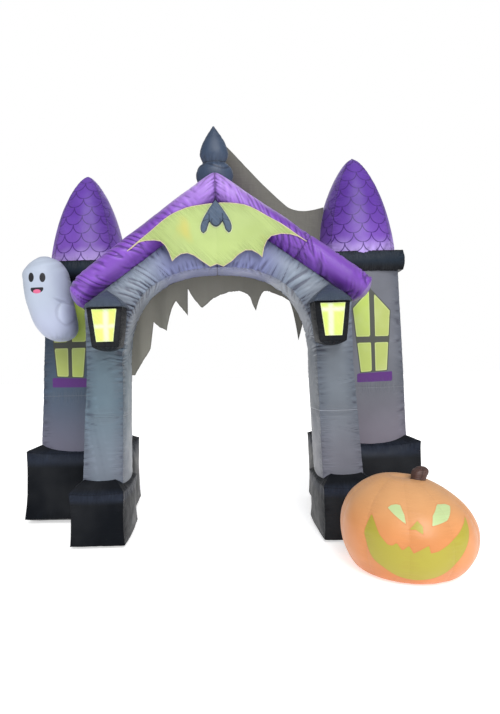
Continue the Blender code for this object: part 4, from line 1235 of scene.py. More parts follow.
def make_roof():
    sizes, look = settings().arch, settings().look
    run = math.hypot(1, sizes.slope)
    count = round(2 * (sizes.roof_thick + sizes.roof_depth) * ROOF_MESH["column"] / look.mesh_step)
    u, v = oval(sizes.roof_thick / 2, sizes.roof_depth / 2, ROOF_SHAPE["power"], turns(count))
    steps = round(sizes.reach * run * ROOF_MESH["row"] / look.mesh_step)
    share = np.linspace(-1, 1, 2 * steps + 1)[:, None]
    side, share = np.where(share < 0, -1, 1), np.abs(share)
    x = (sizes.reach + np.where(side > 0, ROOF_ENDS["right_reach"], 0)) * share
    turned = np.minimum(1, share / ROOF_SHAPE["turn_reach"])
    up_x = side * sizes.slope * turned / run
    up_z = mix(run, 1 / run, turned)
    pinch = 1 - ROOF_SHAPE["pinch"] * np.maximum(0, 1 - share / ROOF_SHAPE["pinch_reach"])
    ending = np.maximum(0, share - ROOF_ENDS["from"]) / (1 - ROOF_ENDS["from"])
    scale = pinch * (1 - ROOF_ENDS["taper"] * ending**2)
    droop = np.where(side > 0, ROOF_ENDS["right_droop"], ROOF_ENDS["left_droop"]) * ending**2
    rows = points_of(
        side * x + up_x * (u * scale - droop),
        sizes.roof_front + sizes.roof_depth / 2 + v * scale,
        sizes.ridge - sizes.slope * x + up_z * (u * scale - droop),
    )
    end = np.array([1, 0, -sizes.slope]) / run * ROOF_SHAPE["end_dome"]
    seam_row = int(np.argmin(np.abs(side[:, 0] * x[:, 0] - sizes.roof_seam)))
    seams = {"columns": [count // 2], "crossings": [seam_row, steps], "rims": (0, 0)}
    made = skin(rows, end * [-1, 1, 1], end, steps=ROOF_MESH["cap_rings"], **seams)
    along, across = made["along"], made["across"]
    depth = gathers(made, 400, (1.3, 0.9, 2.4), 3, 0.75)
    for (away, _), (deep, wide) in zip(made["seams"][1:], ((0.005, 0.008), (0.012, 0.018))):
        depth = depth + valley(away, deep, wide)
    # Slanting creases across the tubes, most of them where they sag on the arch.
    out = np.abs(made["rows"][..., 0])
    wide = ROOF_CREASES["across"]
    lean = along - ROOF_CREASES["lean"] * across * np.sign(made["rows"][..., 0])
    crease = narrow(wander(lean / ROOF_CREASES["pitch"], across / wide, 431), 0.30)
    patch = ease(0.45 + 1.1 * wander(along / 0.13, across / wide, 437))
    patch = patch * mix(0.25, 1, ease((out - ROOF_CREASES["sag_from"]) / ROOF_CREASES["sag_over"]))
    depth = depth + ROOF_CREASES["deep"] * patch * crease
    # Short gathers where the upper edge of the wings is sewn on.
    fade, front = WING_GATHERS["fade"], made["rows"][..., 1] < sizes.roof_front + WING_GATHERS["behind"]
    strip = ease((out - WING_GATHERS["from"]) / fade) * ease((WING_GATHERS["to"] - out) / fade) * front
    ribs = narrow(wander(along / WING_GATHERS["pitch"], across / 0.20, 449), 0.40)
    depth = depth + WING_GATHERS["deep"] * strip * ribs + uneven(made, 0.004, 0.16, 0.22, 441)
    # The round ends are smooth.
    number = np.arange(len(depth))
    calm = (np.minimum(number, number[::-1]) - made["cap"] + 1) / ROOF_MESH["calm_rows"]
    calm = np.clip(calm, 0, 1)[:, None]
    values = {"drawn": drawn_in(depth) * calm, "meeting": 1 - calm + 0 * depth}
    return mesh_piece(sewn("gable_roof"), made, depth * calm, values)


def roof_painted_light(f):
    """Painted light and shade: the ridge is paler and the tubes' undersides darker."""
    x, _, z = f.split()
    sizes = settings().arch
    aside = f.apart(x, settings().look.middle)
    middle = f.minus(sizes.ridge, f.times(aside, sizes.slope))
    above = f.minus(z, middle)
    # Painted shade under the tubes and painted light on the ridge.
    f.dye(f.near(above, -0.13, 0.0), 0.45, "roof_underside")
    ridge = f.fade(z, 2.30, 2.54)
    f.dye(ridge, 0.60, "roof_ridge")


FINIAL_ROWS = (  # height, half width
    (2.490, 0.110), (2.600, 0.126), (2.680, 0.140), (2.718, 0.134), (2.748, 0.116), (2.774, 0.088),
    (2.800, 0.098), (2.845, 0.108), (2.920, 0.086), (2.968, 0.060), (3.018, 0.028), (3.040, 0.012),
)
FINIAL_TIP, FINIAL_NECK = 3.052, 2.774
FINIAL_FOLD = {"height": 2.735, "wave": 0.02, "waves": 3, "half": 0.012, "deep": 0.003}


def make_finial():
    sizes = settings().figures
    z = np.linspace(FINIAL_ROWS[0][0], FINIAL_ROWS[-1][0], 96)[:, None]
    half = curve_through(FINIAL_ROWS, z)
    turn = turns(72)
    u, v = oval(half, half * sizes.finial_flatness, 2.0, turn)
    rows = points_of(u, sizes.finial_middle + v, z + 0 * u)
    neck = int(np.argmin(np.abs(z[:, 0] - FINIAL_NECK)))
    tip = (0, 0, FINIAL_TIP - FINIAL_ROWS[-1][0])
    made = skin(rows, end_rise=tip, steps=3, columns=[0, 36], crossings=[neck], rims=(0, 0))
    middle = FINIAL_FOLD["height"] + FINIAL_FOLD["wave"] * np.cos(turn * FINIAL_FOLD["waves"])
    fold = np.maximum(0, 1 - np.abs(made["rows"][..., 2] - middle) / FINIAL_FOLD["half"])
    depth = gathers(made, 460, (0.5, 0.7)) + FINIAL_FOLD["deep"] * fold
    return mesh_piece(sewn("finial"), made, depth)


class GATEWAY_OT_roof(bpy.types.Operator):
    """Sews the purple gable roof and the slate finial on its ridge"""

    bl_idname = "gateway.roof"
    bl_label = "Gable roof and finial"

    def execute(self, context):
        look = settings().look
        around = [sewn("arch")]
        around += [sewn(f"{part}_{which}") for which in SIDES for part in ("tower", "cornice", "cone")]
        roof = trim(make_roof(), around, [make_wing_room(), make_cloth_room()])
        shiny = {"rough": (0.30, 0.44), "creases": 1.3, "deepen": 0.62}
        purple = nylon("purple_roof", scaled(look.purple, 0.88), roof_painted_light, **shiny)
        finish_piece(roof, purple, sharp=100)
        finial = trim(make_finial(), [roof.name])
        deep = scaled(look.slate, (0.42, 0.48, 0.56))
        slate = nylon("slate_finial", deep, rough=(0.36, 0.48), seam_dark=0.8)
        finish_piece(finial, slate, sharp=60)
        return {"FINISHED"}


# ---- bat wings and body ----

WING_ROWS = (  # x, top edge, bottom edge
    (-0.634, 2.088, 2.083), (-0.600, 2.115, 2.104), (-0.550, 2.156, 2.143),
    (-0.500, 2.195, 2.155), (-0.440, 2.243, 2.157), (-0.395, 2.281, 2.149),
    (-0.365, 2.304, 2.120), (-0.342, 2.320, 2.076), (-0.320, 2.334, 2.010),
    (-0.295, 2.347, 2.034), (-0.255, 2.364, 2.060), (-0.210, 2.381, 2.066),
    (-0.165, 2.392, 2.050), (-0.110, 2.400, 2.011), (-0.050, 2.408, 1.970),
    (0.000, 2.412, 1.989), (0.046, 2.413, 1.969), (0.105, 2.409, 2.003),
    (0.155, 2.402, 2.048), (0.205, 2.392, 2.075), (0.250, 2.374, 2.073),
    (0.295, 2.350, 2.047), (0.323, 2.333, 2.020), (0.337, 2.324, 2.090),
    (0.358, 2.311, 2.136), (0.390, 2.292, 2.166), (0.460, 2.252, 2.179),
    (0.525, 2.205, 2.172), (0.575, 2.166, 2.155), (0.637, 2.122, 2.117),
)
WING_LOWEST, WING_CURVE, ROOM_REACH = 1.97, 1.3, 0.2


def wing_front(x, z):
    """The panel's depth: it leaves the roof's tubes at their middle and leans back to the arch."""
    arch, sheets = settings().arch, settings().sheets
    middle = arch.ridge - arch.slope * np.abs(x)
    below = np.maximum(0, middle - z) / (arch.ridge - WING_LOWEST)
    return sheets.wing_front + sheets.wing_backset * below**WING_CURVE


def wing_outline(step):
    """The wings' columns at every step: their x, top and bottom."""
    return at_steps(WING_ROWS, steps_through(WING_ROWS, step))


def row_edge(rows):
    """The outline of a table of rows of x, top and bottom."""
    return [(x, top) for x, top, _ in rows] + [(x, low) for x, _, low in rows[::-1]]


def make_wing_room():
    """What the chambers behind the wings are pressed flat against."""
    clear = settings().look.clearance
    x, top, bottom = wing_outline(0.03)
    thick = ROOM_REACH + settings().sheets.thickness + clear
    outline = (x, top + clear, bottom - clear)
    return sheet_piece("wing_room", outline, 12, lambda px, pz: wing_front(px, pz) - ROOM_REACH, thick)


def make_wings():
    outline = wing_outline(0.006)
    highest = outline[1].max()

    def front(x, z):
        ripple = 0.5 + 0.5 * wander(x / 0.09 + z / 0.3, z / 0.05, 503)
        return wing_front(x, z) - 0.0035 * ripple * ease((highest - z) / 0.1)

    def values(x, z):
        away = -outside(x, z, row_edge(WING_ROWS))
        body = outside(np.abs(x), z, bat_outline())
        return {"seam": away, "stitch": x + z, "edge_away": away, "body_away": np.abs(body)}

    return sheet_piece(sewn("bat_wings"), outline, 46, front, settings().sheets.thickness, values)


def wing_stains_and_painted_highlight(f):
    """A painted highlight in a pale rim along the edge, soft ribs, and faint ochre stains."""
    stain = f.noise(f.place, 3.6, 2.0, 0.5)
    f.lay(f.fade(stain, 0.56, 0.74, 0.0, 0.55), "wing_ochre")
    cool = f.noise(f.place, 2.3, 2.0, 0.5, 0.5)
    f.lay(f.fade(cool, 0.50, 0.70, 0.0, 0.30), "wing_green")
    f.dye(f.near(f.kept("edge_away"), 0.002, 0.007), 0.75, "wing_rim")
    f.dye(f.near(f.kept("body_away"), 0.003, 0.008), 0.60, "bat_ring")


BAT_ROWS = (  # distance from the middle, top edge, bottom edge
    (0.000, 2.434, 2.247), (0.016, 2.414, 2.250), (0.032, 2.392, 2.262),
    (0.046, 2.373, 2.284), (0.056, 2.358, 2.258), (0.068, 2.339, 2.222),
    (0.088, 2.307, 2.202), (0.103, 2.275, 2.211), (0.110, 2.252, 2.228),
)
BAT_PADDING, BAT_EDGE, BAT_GAP = 0.022, 0.003, 0.005
BAT_LINES = {"arms_top": 2.33, "arm": 0.047, "nub_height": 2.283, "nub": 0.031, "bend": 2.290, "fall": 0.25}


def bat_edges(x):
    distance, top, bottom = np.array(BAT_ROWS).T
    return np.interp(np.abs(x), distance, top), np.interp(np.abs(x), distance, bottom)


def bat_outline():
    return row_edge(BAT_ROWS) + [(-0.02, BAT_ROWS[0][2]), (-0.02, BAT_ROWS[0][1])]


def bat_thickness(x, z):
    """Padding that is thickest in the middle of the body and thin along its seam."""
    top, bottom = bat_edges(x)
    inward = np.maximum(0, (top - z) * (z - bottom)) / ((top - bottom) / 2) ** 2
    sideways = np.maximum(0, 1 - (np.abs(x) / BAT_ROWS[-1][0]) ** 2)
    crown = np.sqrt(inward * sideways)
    crease = 0.002 * (1 - np.abs(wander(x / 0.018, z / 0.03, 531))) ** 2
    lobes = 0.0045 * narrow(np.abs(x) - 0.05, 0.007) * (z < BAT_LINES["arms_top"])
    return BAT_EDGE + BAT_PADDING * crown - crease * crown - lobes * inward


def make_bat_body():
    wide = BAT_ROWS[-1][0]
    x = np.unique(np.round(np.concatenate([np.linspace(-wide, wide, 75), [row[0] for row in BAT_ROWS]]), 4))
    lines = BAT_LINES

    def values(px, pz):
        away = np.maximum(-outside(np.abs(px), pz, bat_outline()), 0)
        out = np.abs(px)
        arms = np.where(pz < 2.335, np.abs(out - lines["arm"]), FAR)
        nub = np.where(pz < 2.300, np.abs(np.hypot(px, pz - lines["nub_height"]) - lines["nub"]), FAR)
        bend = np.where(out > lines["arm"], np.abs(pz - lines["bend"] + lines["fall"] * (out - 0.07)), FAR)
        return {"seam": away, "stitch": px + pz, "lines": np.minimum.reduce([arms, nub, bend, away])}

    def front(px, pz):
        return wing_front(px, pz) - BAT_GAP - bat_thickness(px, pz)

    return sheet_piece(sewn("bat_body"), (x, *bat_edges(x)), 44, front, bat_thickness, values)


def bat_prints(f):
    """Dark seams round the body, along its arms and round the lobe between them."""
    f.dye(f.near(f.kept("lines"), 0.0015, 0.0050), 0.70, "bat_line")


class GATEWAY_OT_bat(bpy.types.Operator):
    """Cuts the bat's scalloped wings and sews its padded body on them"""

    bl_idname = "gateway.bat"
    bl_label = "Bat wings and body"

    def execute(self, context):
        look = settings().look
        wings = make_wings()
        lime = nylon("lime_wings", look.lime, wing_stains_and_painted_highlight, rough=(0.42, 0.55), creases=1.1, seam_dark=0.10)
        finish_piece(wings, lime)
        body = make_bat_body()
        slate = nylon("slate_bat", scaled(look.slate, 0.98), bat_prints, rough=(0.38, 0.50), seam_dark=0.5)
        finish_piece(body, slate, sharp=60)
        return {"FINISHED"}


# ---- lanterns ----

LANTERN = {"eaves": 1.685, "floor": 1.412, "half_top": 0.124, "half_floor": 0.094, "puff": 0.016}
LANTERN_ROOF = {"apex": 1.815, "half": 0.135, "swell": 0.45, "puff": 0.14, "clear": 0.0016, "tip_from": 0.965}
PANE = {"top": 1.672, "floor": 1.447, "half_top": 0.086, "half_floor": 0.058, "proud": 0.005}
# Where the pale cross of painted reflection lies on each pane.
CROSS = {"left": (0.774, 1.552, 0.018, 0.013), "right": (0.770, 1.628, 0.018, 0.014)}  # x, z, half widths


def lantern_sections(half, half_depth, puff, z, which):
    """A lantern's rings of points, and the columns at its corners."""
    sizes, look = settings().figures, settings().look
    place, panel = panel_places(2 * LANTERN["half_top"], sizes.lantern_depth, look.mesh_step * 0.8)
    u, v = section(half, half_depth, puff, puff, place, panel)
    x = SIDES[which] * sizes.lantern_x + u
    y = sizes.lantern_front + sizes.lantern_depth / 2 + v
    return points_of(x, y, z + 0 * u), corner_columns(place)


def make_lantern_body(which):
    share = np.linspace(0, 1, 34)[:, None]
    half = mix(LANTERN["half_floor"], LANTERN["half_top"], share)
    puff = LANTERN["puff"] * (1 + swell_at(share)) / 2
    half_depth = settings().figures.lantern_depth / 2 + 0 * share
    z = mix(LANTERN["floor"], LANTERN["eaves"], share)
    rows, corners = lantern_sections(half, half_depth, puff, z, which)
    made = skin(rows, (0, 0, -2 * LANTERN["puff"]), steps=9, columns=corners)
    return mesh_piece(sewn("lantern_" + which), made, gathers(made, 560 + SIDES[which], (0.45,), 2))


def make_lantern_roof(which):
    share = np.linspace(0, LANTERN_ROOF["tip_from"], 30)[:, None]
    height = LANTERN_ROOF["apex"] - LANTERN["eaves"]
    half = LANTERN_ROOF["half"] * (1 - share) * (1 + LANTERN_ROOF["swell"] * share)
    z = LANTERN["eaves"] + LANTERN_ROOF["clear"] + height * share
    rows, corners = lantern_sections(half, half, LANTERN_ROOF["puff"] * half, z, which)
    tip = (0, 0, height * (1 - LANTERN_ROOF["tip_from"]) - LANTERN_ROOF["clear"])
    made = skin(rows, end_rise=tip, steps=3, columns=corners, rims=(1, 0))
    depth = gathers(made, 590 + SIDES[which], (0.35,), 2)
    depth = np.where(made["rows"][..., 2] < LANTERN["eaves"] + 0.004, 0, depth)
    return mesh_piece(sewn("lantern_roof_" + which), made, depth)


def make_pane(which):
    """A four-cornered panel that puffs out a little, sewn on the lantern's front."""
    sizes = settings().figures
    side = SIDES[which]
    centre = side * sizes.lantern_x
    share = np.linspace(0, 1, 31)[None, :]
    place = np.linspace(-1, 1, 29)[:, None]
    half = mix(PANE["half_top"], PANE["half_floor"], share)
    x = centre + place * half
    z = mix(PANE["top"], PANE["floor"], share) + 0 * place
    swell = swell_at(share) * swell_at((place + 1) / 2)
    rim = np.minimum(half * (1 - np.abs(place)), np.minimum(PANE["top"] - z, z - PANE["floor"]))
    gather = puckers(rim, x + z, 610 + side, 0.35)
    front = sizes.lantern_front - LANTERN["puff"] - PANE["proud"] * (1 + swell) + gather
    back = sizes.lantern_front + LANTERN["puff"] + 0 * x
    # The pale cross is a painted reflection of the lights.
    cross_x, cross_z, half_x, half_z = CROSS[which]
    bars = np.minimum(np.abs(x - side * cross_x) - half_x, np.abs(z - cross_z) - half_z)
    kept = {"seam": rim, "stitch": x + z, "bars": bars}
    return sheet_mesh(sewn("lantern_pane_" + which), x, front, back, z, kept)


def pane_rim_and_painted_light(f):
    """A painted reflection: a soft pale cross over the lit pane."""
    f.dye(f.near(f.kept("bars"), -0.014, 0.014), 0.55, "lantern_cross")
    glow = f.noise(f.place, 14.0, 2.0)
    f.lay(f.fade(glow, 0.5, 0.75, 0.0, 0.25), "lantern_glow")
    f.dye(f.near(f.kept("seam"), 0.003, 0.007), 0.5, "lantern_rim")


class GATEWAY_OT_lanterns(bpy.types.Operator):
    """Sews both lanterns: black body, slate roof and lit pane"""

    bl_idname = "gateway.lanterns"
    bl_label = "Lanterns"

    def execute(self, context):
        look = settings().look
        black = nylon("black_lanterns", look.black, rough=(0.34, 0.46), sheen=0.0, gloss=0.12)
        slate = nylon("slate_lantern_roofs", scaled(look.slate, 0.50), rough=(0.36, 0.48))
        lit = nylon("lit_panes", look.pane, pane_rim_and_painted_light, rough=(0.40, 0.50), creases=0.6, seam_dark=0.2)
        for which in SIDES:
            body = trim(make_lantern_body(which), [sewn("arch")])
            roof = trim(make_lantern_roof(which), [sewn("arch"), sewn("gable_roof")])
            pane = trim(make_pane(which), [body.name])
            finish_piece(body, black)
            finish_piece(roof, slate)
            finish_piece(pane, lit)
        return {"FINISHED"}


# ---- ghost ----

GHOST_ROWS = (  # height, left side, right side
    (1.492, -1.325, -1.170), (1.512, -1.358, -1.141), (1.560, -1.402, -1.117),
    (1.622, -1.444, -1.116), (1.702, -1.475, -1.130), (1.790, -1.500, -1.146),
    (1.875, -1.513, -1.156), (1.950, -1.520, -1.166), (2.015, -1.524, -1.180),
    (2.070, -1.486, -1.206), (2.115, -1.437, -1.250), (2.138, -1.398, -1.305),
)
GHOST_TOP, GHOST_HEM = 2.147, 1.474
GHOST_ARM = {"x": -1.165, "z": 1.690, "half_x": 0.050, "half_z": 0.085, "out": 0.012}
GHOST_FOLD = {
    "x": -1.18, "z": 1.775, "half_x": 0.05, "half": 0.010, "corner": -1.190, "slope": 0.45, "in": 0.008,
}
GHOST_FACE = {  # x, z, half width, half height of each oval
    "eye_left": (-1.405, 1.960, 0.022, 0.036),
    "eye_right": (-1.318, 1.956, 0.022, 0.036),
    "mouth": (-1.362, 1.872, 0.050, 0.034),
    "tongue": (-1.362, 1.852, 0.030, 0.016),
}


def make_ghost():
    sizes = settings().figures
    z = np.linspace(GHOST_ROWS[0][0], GHOST_ROWS[-1][0], 84)[:, None]
    left, right = curves_of(GHOST_ROWS, z)
    widest = max(row[2] - row[1] for row in GHOST_ROWS)
    half = (right - left) / 2
    half_depth = sizes.ghost_half_depth * (2 * half / widest) ** 0.8
    u, v = oval(half, half_depth, 2.2, turns(128))
    rows = points_of((left + right) / 2 + u, sizes.ghost_middle + v, z + 0 * u)
    top, hem = (0, 0, GHOST_TOP - GHOST_ROWS[-1][0]), (0, 0, GHOST_HEM - GHOST_ROWS[0][0])
    made = skin(rows, hem, top, steps=12, columns=[0, 64], rims=(1, 0))
    depth = gathers(made, 640, (0.45, 0.6))
    x, y, height = np.moveaxis(made["rows"], -1, 0)
    ahead = y < sizes.ghost_middle
    # A small arm is pressed out of the front, with a fold above it.
    arm, fold = GHOST_ARM, GHOST_FOLD
    sideways, upwards = (x - arm["x"]) / arm["half_x"], (height - arm["z"]) / arm["half_z"]
    pressed = np.sqrt(np.clip(1 - sideways**2 - upwards**2, 0, 1))
    slanted = (x - fold["corner"]) * fold["slope"] + (height - fold["z"])
    folded = narrow(slanted, fold["half"]) * narrow(x - fold["x"], fold["half_x"])
    depth = depth - arm["out"] * pressed * ahead + fold["in"] * folded * ahead
    depth = depth + uneven(made, 0.003, 0.15, 0.15, 655)
    values = {}
    for part, (cx, cz, half_x, half_z) in GHOST_FACE.items():
        reach = np.sqrt(((x - cx) / half_x) ** 2 + ((height - cz) / half_z) ** 2)
        if part == "mouth":
            reach = np.maximum(reach, 1 + (height - cz - 0.010) / half_z)
        values[part] = np.where(ahead, (reach - 1) * min(half_x, half_z), FAR)
    return mesh_piece(sewn("ghost"), made, depth, values)


def ghost_face_and_painted_shade(f):
    """Painted lavender shade low down, and a plain printed friendly face."""
    _, _, z = f.split()
    # Painted lavender shade low down.
    f.dye(f.fade(z, 1.85, 1.50), 0.35, "ghost_foot")
    for part, colour in zip(GHOST_FACE, ("eye", "eye", "mouth", "tongue")):
        f.printed(f.kept(part), colour, 0.0012)


class GATEWAY_OT_ghost(bpy.types.Operator):
    """Sews the white sack that leans on the left tower, with a plain face"""

    bl_idname = "gateway.ghost"
    bl_label = "Ghost"

    def execute(self, context):
        around = [sewn(part) for part in ("tower_left", "cornice_left", "cone_left", "gable_roof")]
        ghost = trim(make_ghost(), around)
        smooth = {"rough": (0.42, 0.55), "wear": 0.04, "seam_dark": 0.2, "deepen": 0.22}
        white = nylon("white_ghost", settings().look.white, ghost_face_and_painted_shade, **smooth)
        finish_piece(ghost, white, sharp=60)
        return {"FINISHED"}


# ---- pumpkin ----

PUMPKIN_ROWS = (  # height, radius
    (0.000, 0.278), (0.020, 0.322), (0.062, 0.357), (0.135, 0.392), (0.225, 0.405), (0.310, 0.393),
    (0.392, 0.352), (0.458, 0.290), (0.508, 0.218), (0.540, 0.140), (0.547, 0.075),
)
PUMPKIN = {"ribs": 10, "lean": -0.085, "top_shift": -0.025, "hollow": 0.010, "columns": 280}
PUMPKIN_SOLE = {"shift": -0.022, "power": 4}


def pumpkin_profile(count):
    """(height, radius) at even steps along the side, from the ground to the crown."""
    rows = np.array(PUMPKIN_ROWS)
    run = np.concatenate([[0], np.cumsum(np.linalg.norm(np.diff(rows, axis=0), axis=1))])
    places = np.linspace(0, run[-1], count)
    z, radius = curves_of(np.column_stack([run, rows]), places)
    return np.clip(z, 0, None)[:, None], radius[:, None]


def make_pumpkin():
    sizes = settings().figures
    z, radius = pumpkin_profile(104)
    share = np.minimum(1, z / PUMPKIN_ROWS[-1][0])
    turn = turns(PUMPKIN["columns"])
    rib = np.abs(np.sin(turn * PUMPKIN["ribs"] / 2)) ** 0.75
    reach = radius * (1 - sizes.pumpkin_rib * (1 - rib) * np.sqrt(share))
    u, v = reach * np.cos(turn), reach * np.sin(turn) * sizes.pumpkin_deep
    middle = sizes.pumpkin_x + PUMPKIN["top_shift"] * share**2
    x = middle + PUMPKIN_SOLE["shift"] * (1 - share) ** PUMPKIN_SOLE["power"] + u
    rows = points_of(x, sizes.pumpkin_y + v, z + PUMPKIN["lean"] * u * share)
    gores = [round(i * PUMPKIN["columns"] / PUMPKIN["ribs"]) for i in range(PUMPKIN["ribs"])]
    made = skin(rows, end_rise=(0, 0, -PUMPKIN["hollow"]), steps=10, columns=gores, rims=(1, 0))
    depth = gathers(made, 700, (0.22,), 2)
    for away, _ in made["seams"][: len(gores)]:
        depth = depth + valley(away, 0.0003, 0.006)
    angle = np.arctan2(made["rows"][..., 0] - sizes.pumpkin_x, sizes.pumpkin_y - made["rows"][..., 1])
    return mesh_piece(sewn("pumpkin"), made, depth, face_values(np.degrees(angle), made["rows"][..., 2]))


PUMPKIN_FACE = {"ahead": 0.36, "steps": 60}  # metres round the front for each radian, and points of the mouth
PUMPKIN_EYES = {  # corners as (degrees round the front, height)
    "eye_left": (
        (-34.8, 0.436), (-32.3, 0.449), (-28.0, 0.455), (-24.1, 0.452), (-20.3, 0.410), (-19.0, 0.365),
    ),
    "eye_right": (
        (9.4, 0.442), (12.0, 0.450), (22.0, 0.446), (26.8, 0.434), (14.0, 0.376), (-0.5, 0.358), (2.0, 0.405),
    ),
    "nose": ((-10.8, 0.385), (-17.0, 0.339), (-12.3, 0.342), (-7.4, 0.318), (-7.2, 0.358)),
}
MOUTH_LOW = (  # from the left tip to the right one
    (-48.3, 0.394), (-52.3, 0.299), (-51.4, 0.257), (-45.8, 0.157), (-36.8, 0.109), (-27.0, 0.069),
    (-16.3, 0.053), (-8.4, 0.055), (1.5, 0.072), (9.5, 0.106), (18.0, 0.167), (26.0, 0.238),
    (32.1, 0.303), (38.0, 0.375),
)
MOUTH_HIGH = (
    (-43.4, 0.354), (-38.1, 0.295), (-32.2, 0.252), (-28.8, 0.247), (-25.5, 0.267), (-21.8, 0.228),
    (-17.3, 0.258), (-14.4, 0.217), (-4.4, 0.264), (-3.3, 0.222), (1.6, 0.231), (9.0, 0.261),
    (17.3, 0.297), (27.0, 0.338),
)


def face_values(angle, z):
    """Distances from the lantern face: eyes, nose and a toothed mouth, laid round the front."""
    ahead = PUMPKIN_FACE["ahead"] * math.pi / 180
    values = {}
    for part, corners in PUMPKIN_EYES.items():
        values[part] = outside(angle * ahead, z, [(a * ahead, h) for a, h in corners])
    numbers = np.linspace(0, len(MOUTH_LOW) - 1, PUMPKIN_FACE["steps"])
    turned, heights = curves_of([(i, *row) for i, row in enumerate(MOUTH_LOW)], numbers)
    outline = list(zip(turned * ahead, heights)) + [(a * ahead, h) for a, h in MOUTH_HIGH[::-1]]
    values["mouth"] = outside(angle * ahead, z, outline)
    return values


def pumpkin_face_and_painted_light(f):
    """A traditional lantern face, with a paler crown in painted light and a darker foot in painted shade."""
    _, _, z = f.split()
    # Painted light on the crown and painted shade at the foot.
    f.dye(f.fade(z, 0.22, 0.52), 0.50, "pumpkin_crown")
    f.dye(f.fade(z, 0.14, 0.0), 0.35, "pumpkin_foot")
    for part in ("eye_left", "eye_right", "nose", "mouth"):
        away = f.kept(part)
        bright = "pumpkin_eye" if part.startswith("eye") else "pumpkin_mouth"
        f.dye(f.near(away, 0.0010, 0.0070), 0.35, "pumpkin_line")
        f.printed(away, bright, 0.0012)


STEM_ROWS = (  # height, radius, sideways shift, shift towards the back
    (0.500, 0.056, -0.004, 0.000),
    (0.528, 0.047, 0.000, 0.002),
    (0.550, 0.046, 0.008, 0.006),
    (0.573, 0.051, 0.017, 0.012),
    (0.593, 0.047, 0.025, 0.017),
    (0.606, 0.032, 0.030, 0.020),
)
STEM = {"x": 1.191, "middle": -0.505, "dome": 0.007, "power": 2.2}


def make_stem():
    z = np.linspace(STEM_ROWS[0][0], STEM_ROWS[-1][0], 28)[:, None]
    radius, shift, back = curves_of(STEM_ROWS, z)
    u, v = oval(radius, radius, STEM["power"], turns(56))
    ridges = 1 - 0.03 * np.cos(turns(56) * 7)
    rows = points_of(STEM["x"] + shift + u * ridges, STEM["middle"] + back + v * ridges, z + 0 * u)
    made = skin(rows, end_rise=(0, 0, STEM["dome"]), steps=5, columns=[0, 14, 28, 42], rims=(0, 1))
    return mesh_piece(sewn("pumpkin_stem"), made, gathers(made, 760, (0.25,)))


class GATEWAY_OT_pumpkin(bpy.types.Operator):
    """Sews the pumpkin's ten gores, prints its face and sets its stem"""

    bl_idname = "gateway.pumpkin"
    bl_label = "Pumpkin"

    def execute(self, context):
        look = settings().look
        pumpkin = trim(make_pumpkin(), [sewn("front_base_right"), sewn("rear_base_right")])
        stem = trim(make_stem(), [pumpkin.name])
        taut = {"rough": (0.34, 0.46), "sheen": 0.05, "creases": 0.3, "seam_dark": 0.02, "deepen": 0.12}
        orange = nylon("orange_pumpkin", look.orange, pumpkin_face_and_painted_light, **taut)
        brown = nylon("brown_stem", look.brown, rough=(0.45, 0.60))
        finish_piece(pumpkin, orange, sharp=60)
        finish_piece(stem, brown, sharp=60)
        return {"FINISHED"}


# ---- tattered cloth ----

CLOTH_TOP = (  # x, height of the hung edge
    (-0.820, 1.800), (-0.600, 2.010), (-0.300, 2.235), (-0.060, 2.410), (0.000, 2.720), (0.045, 2.990),
    (0.098, 2.955), (0.200, 2.867), (0.297, 2.783), (0.400, 2.697), (0.508, 2.616), (0.614, 2.549),
    (0.719, 2.538), (0.823, 2.558), (0.940, 2.600),
)
CLOTH_RAGS = (  # x, height of the torn edge, how far it bows up before the next row
    (-0.820, 1.090, 0.030), (-0.700, 1.190, 0.000), (-0.566, 1.400, 0.000),
    (-0.535, 1.622, -0.010), (-0.428, 1.545, 0.040), (-0.346, 1.790, 0.000),
    (-0.252, 1.664, 0.000), (-0.246, 1.884, -0.014), (-0.134, 1.726, 0.026),
    (0.116, 1.850, 0.022), (0.263, 1.806, -0.010), (0.309, 1.688, 0.040),
    (0.387, 1.852, 0.012), (0.582, 1.765, 0.045), (0.652, 1.438, 0.000),
    (0.690, 1.560, 0.000), (0.830, 2.215, 0.000), (0.940, 2.240, 0.000),
)
CLOTH_HANG = {
    "front": 0.393, "spread": 0.66, "most_lean": 0.36, "most_slope": 1.5, "turn_x": 0.55, "turn": 2.0,
    "free_from": 2.1, "free_over": 0.4, "leaves": 0.06, "clear": 0.0030,
}


def cloth_front(x, z):
    """The cloth's depth: down behind the roof and arch, and up towards finial and cone above them."""
    sheets, arch = settings().sheets, settings().arch
    fold = sheets.cloth_fold * (1 - np.cos(2 * math.pi * x / sheets.fold_pitch))
    free = np.clip((CLOTH_HANG["free_from"] - z) / CLOTH_HANG["free_over"], 0, 1)
    turned = CLOTH_HANG["turn"] * np.maximum(0, x - CLOTH_HANG["turn_x"]) ** 2
    behind = sheets.cloth_back + fold * free + turned
    leaves = arch.ridge - arch.slope * np.abs(x) + CLOTH_HANG["leaves"]
    hung = CLOTH_HANG["front"] + CLOTH_HANG["spread"] * np.maximum(0, x)
    hung = np.maximum(hung, behind - CLOTH_HANG["most_lean"])
    top = curve_through(CLOTH_TOP, x)
    share = np.clip((z - leaves) / np.where(np.abs(top - leaves) < 1e-6, 1e-6, top - leaves), 0, 1)
    steepest = behind - CLOTH_HANG["most_slope"] * (z - leaves)
    leaning = np.maximum(mix(behind, hung, (share + ease(share)) / 2), steepest)
    return np.where(z <= leaves, behind, leaning)


def cloth_outline(step, fray):
    """The cloth's columns at every step: their x, hung edge and torn edge."""
    numbers = steps_through(CLOTH_RAGS, step, 0.25)
    x, torn, _ = at_steps(CLOTH_RAGS, numbers)
    bow = np.array(CLOTH_RAGS)[numbers.astype(int), 2]
    torn = torn + bow * swell_at(numbers % 1)
    nicks = fray * np.maximum(0, wander(x / 0.011, torn / 0.02, 811)) + 0.4 * fray * wander(x / 0.05, 0, 813)
    return x, curve_through(CLOTH_TOP, x), torn + nicks


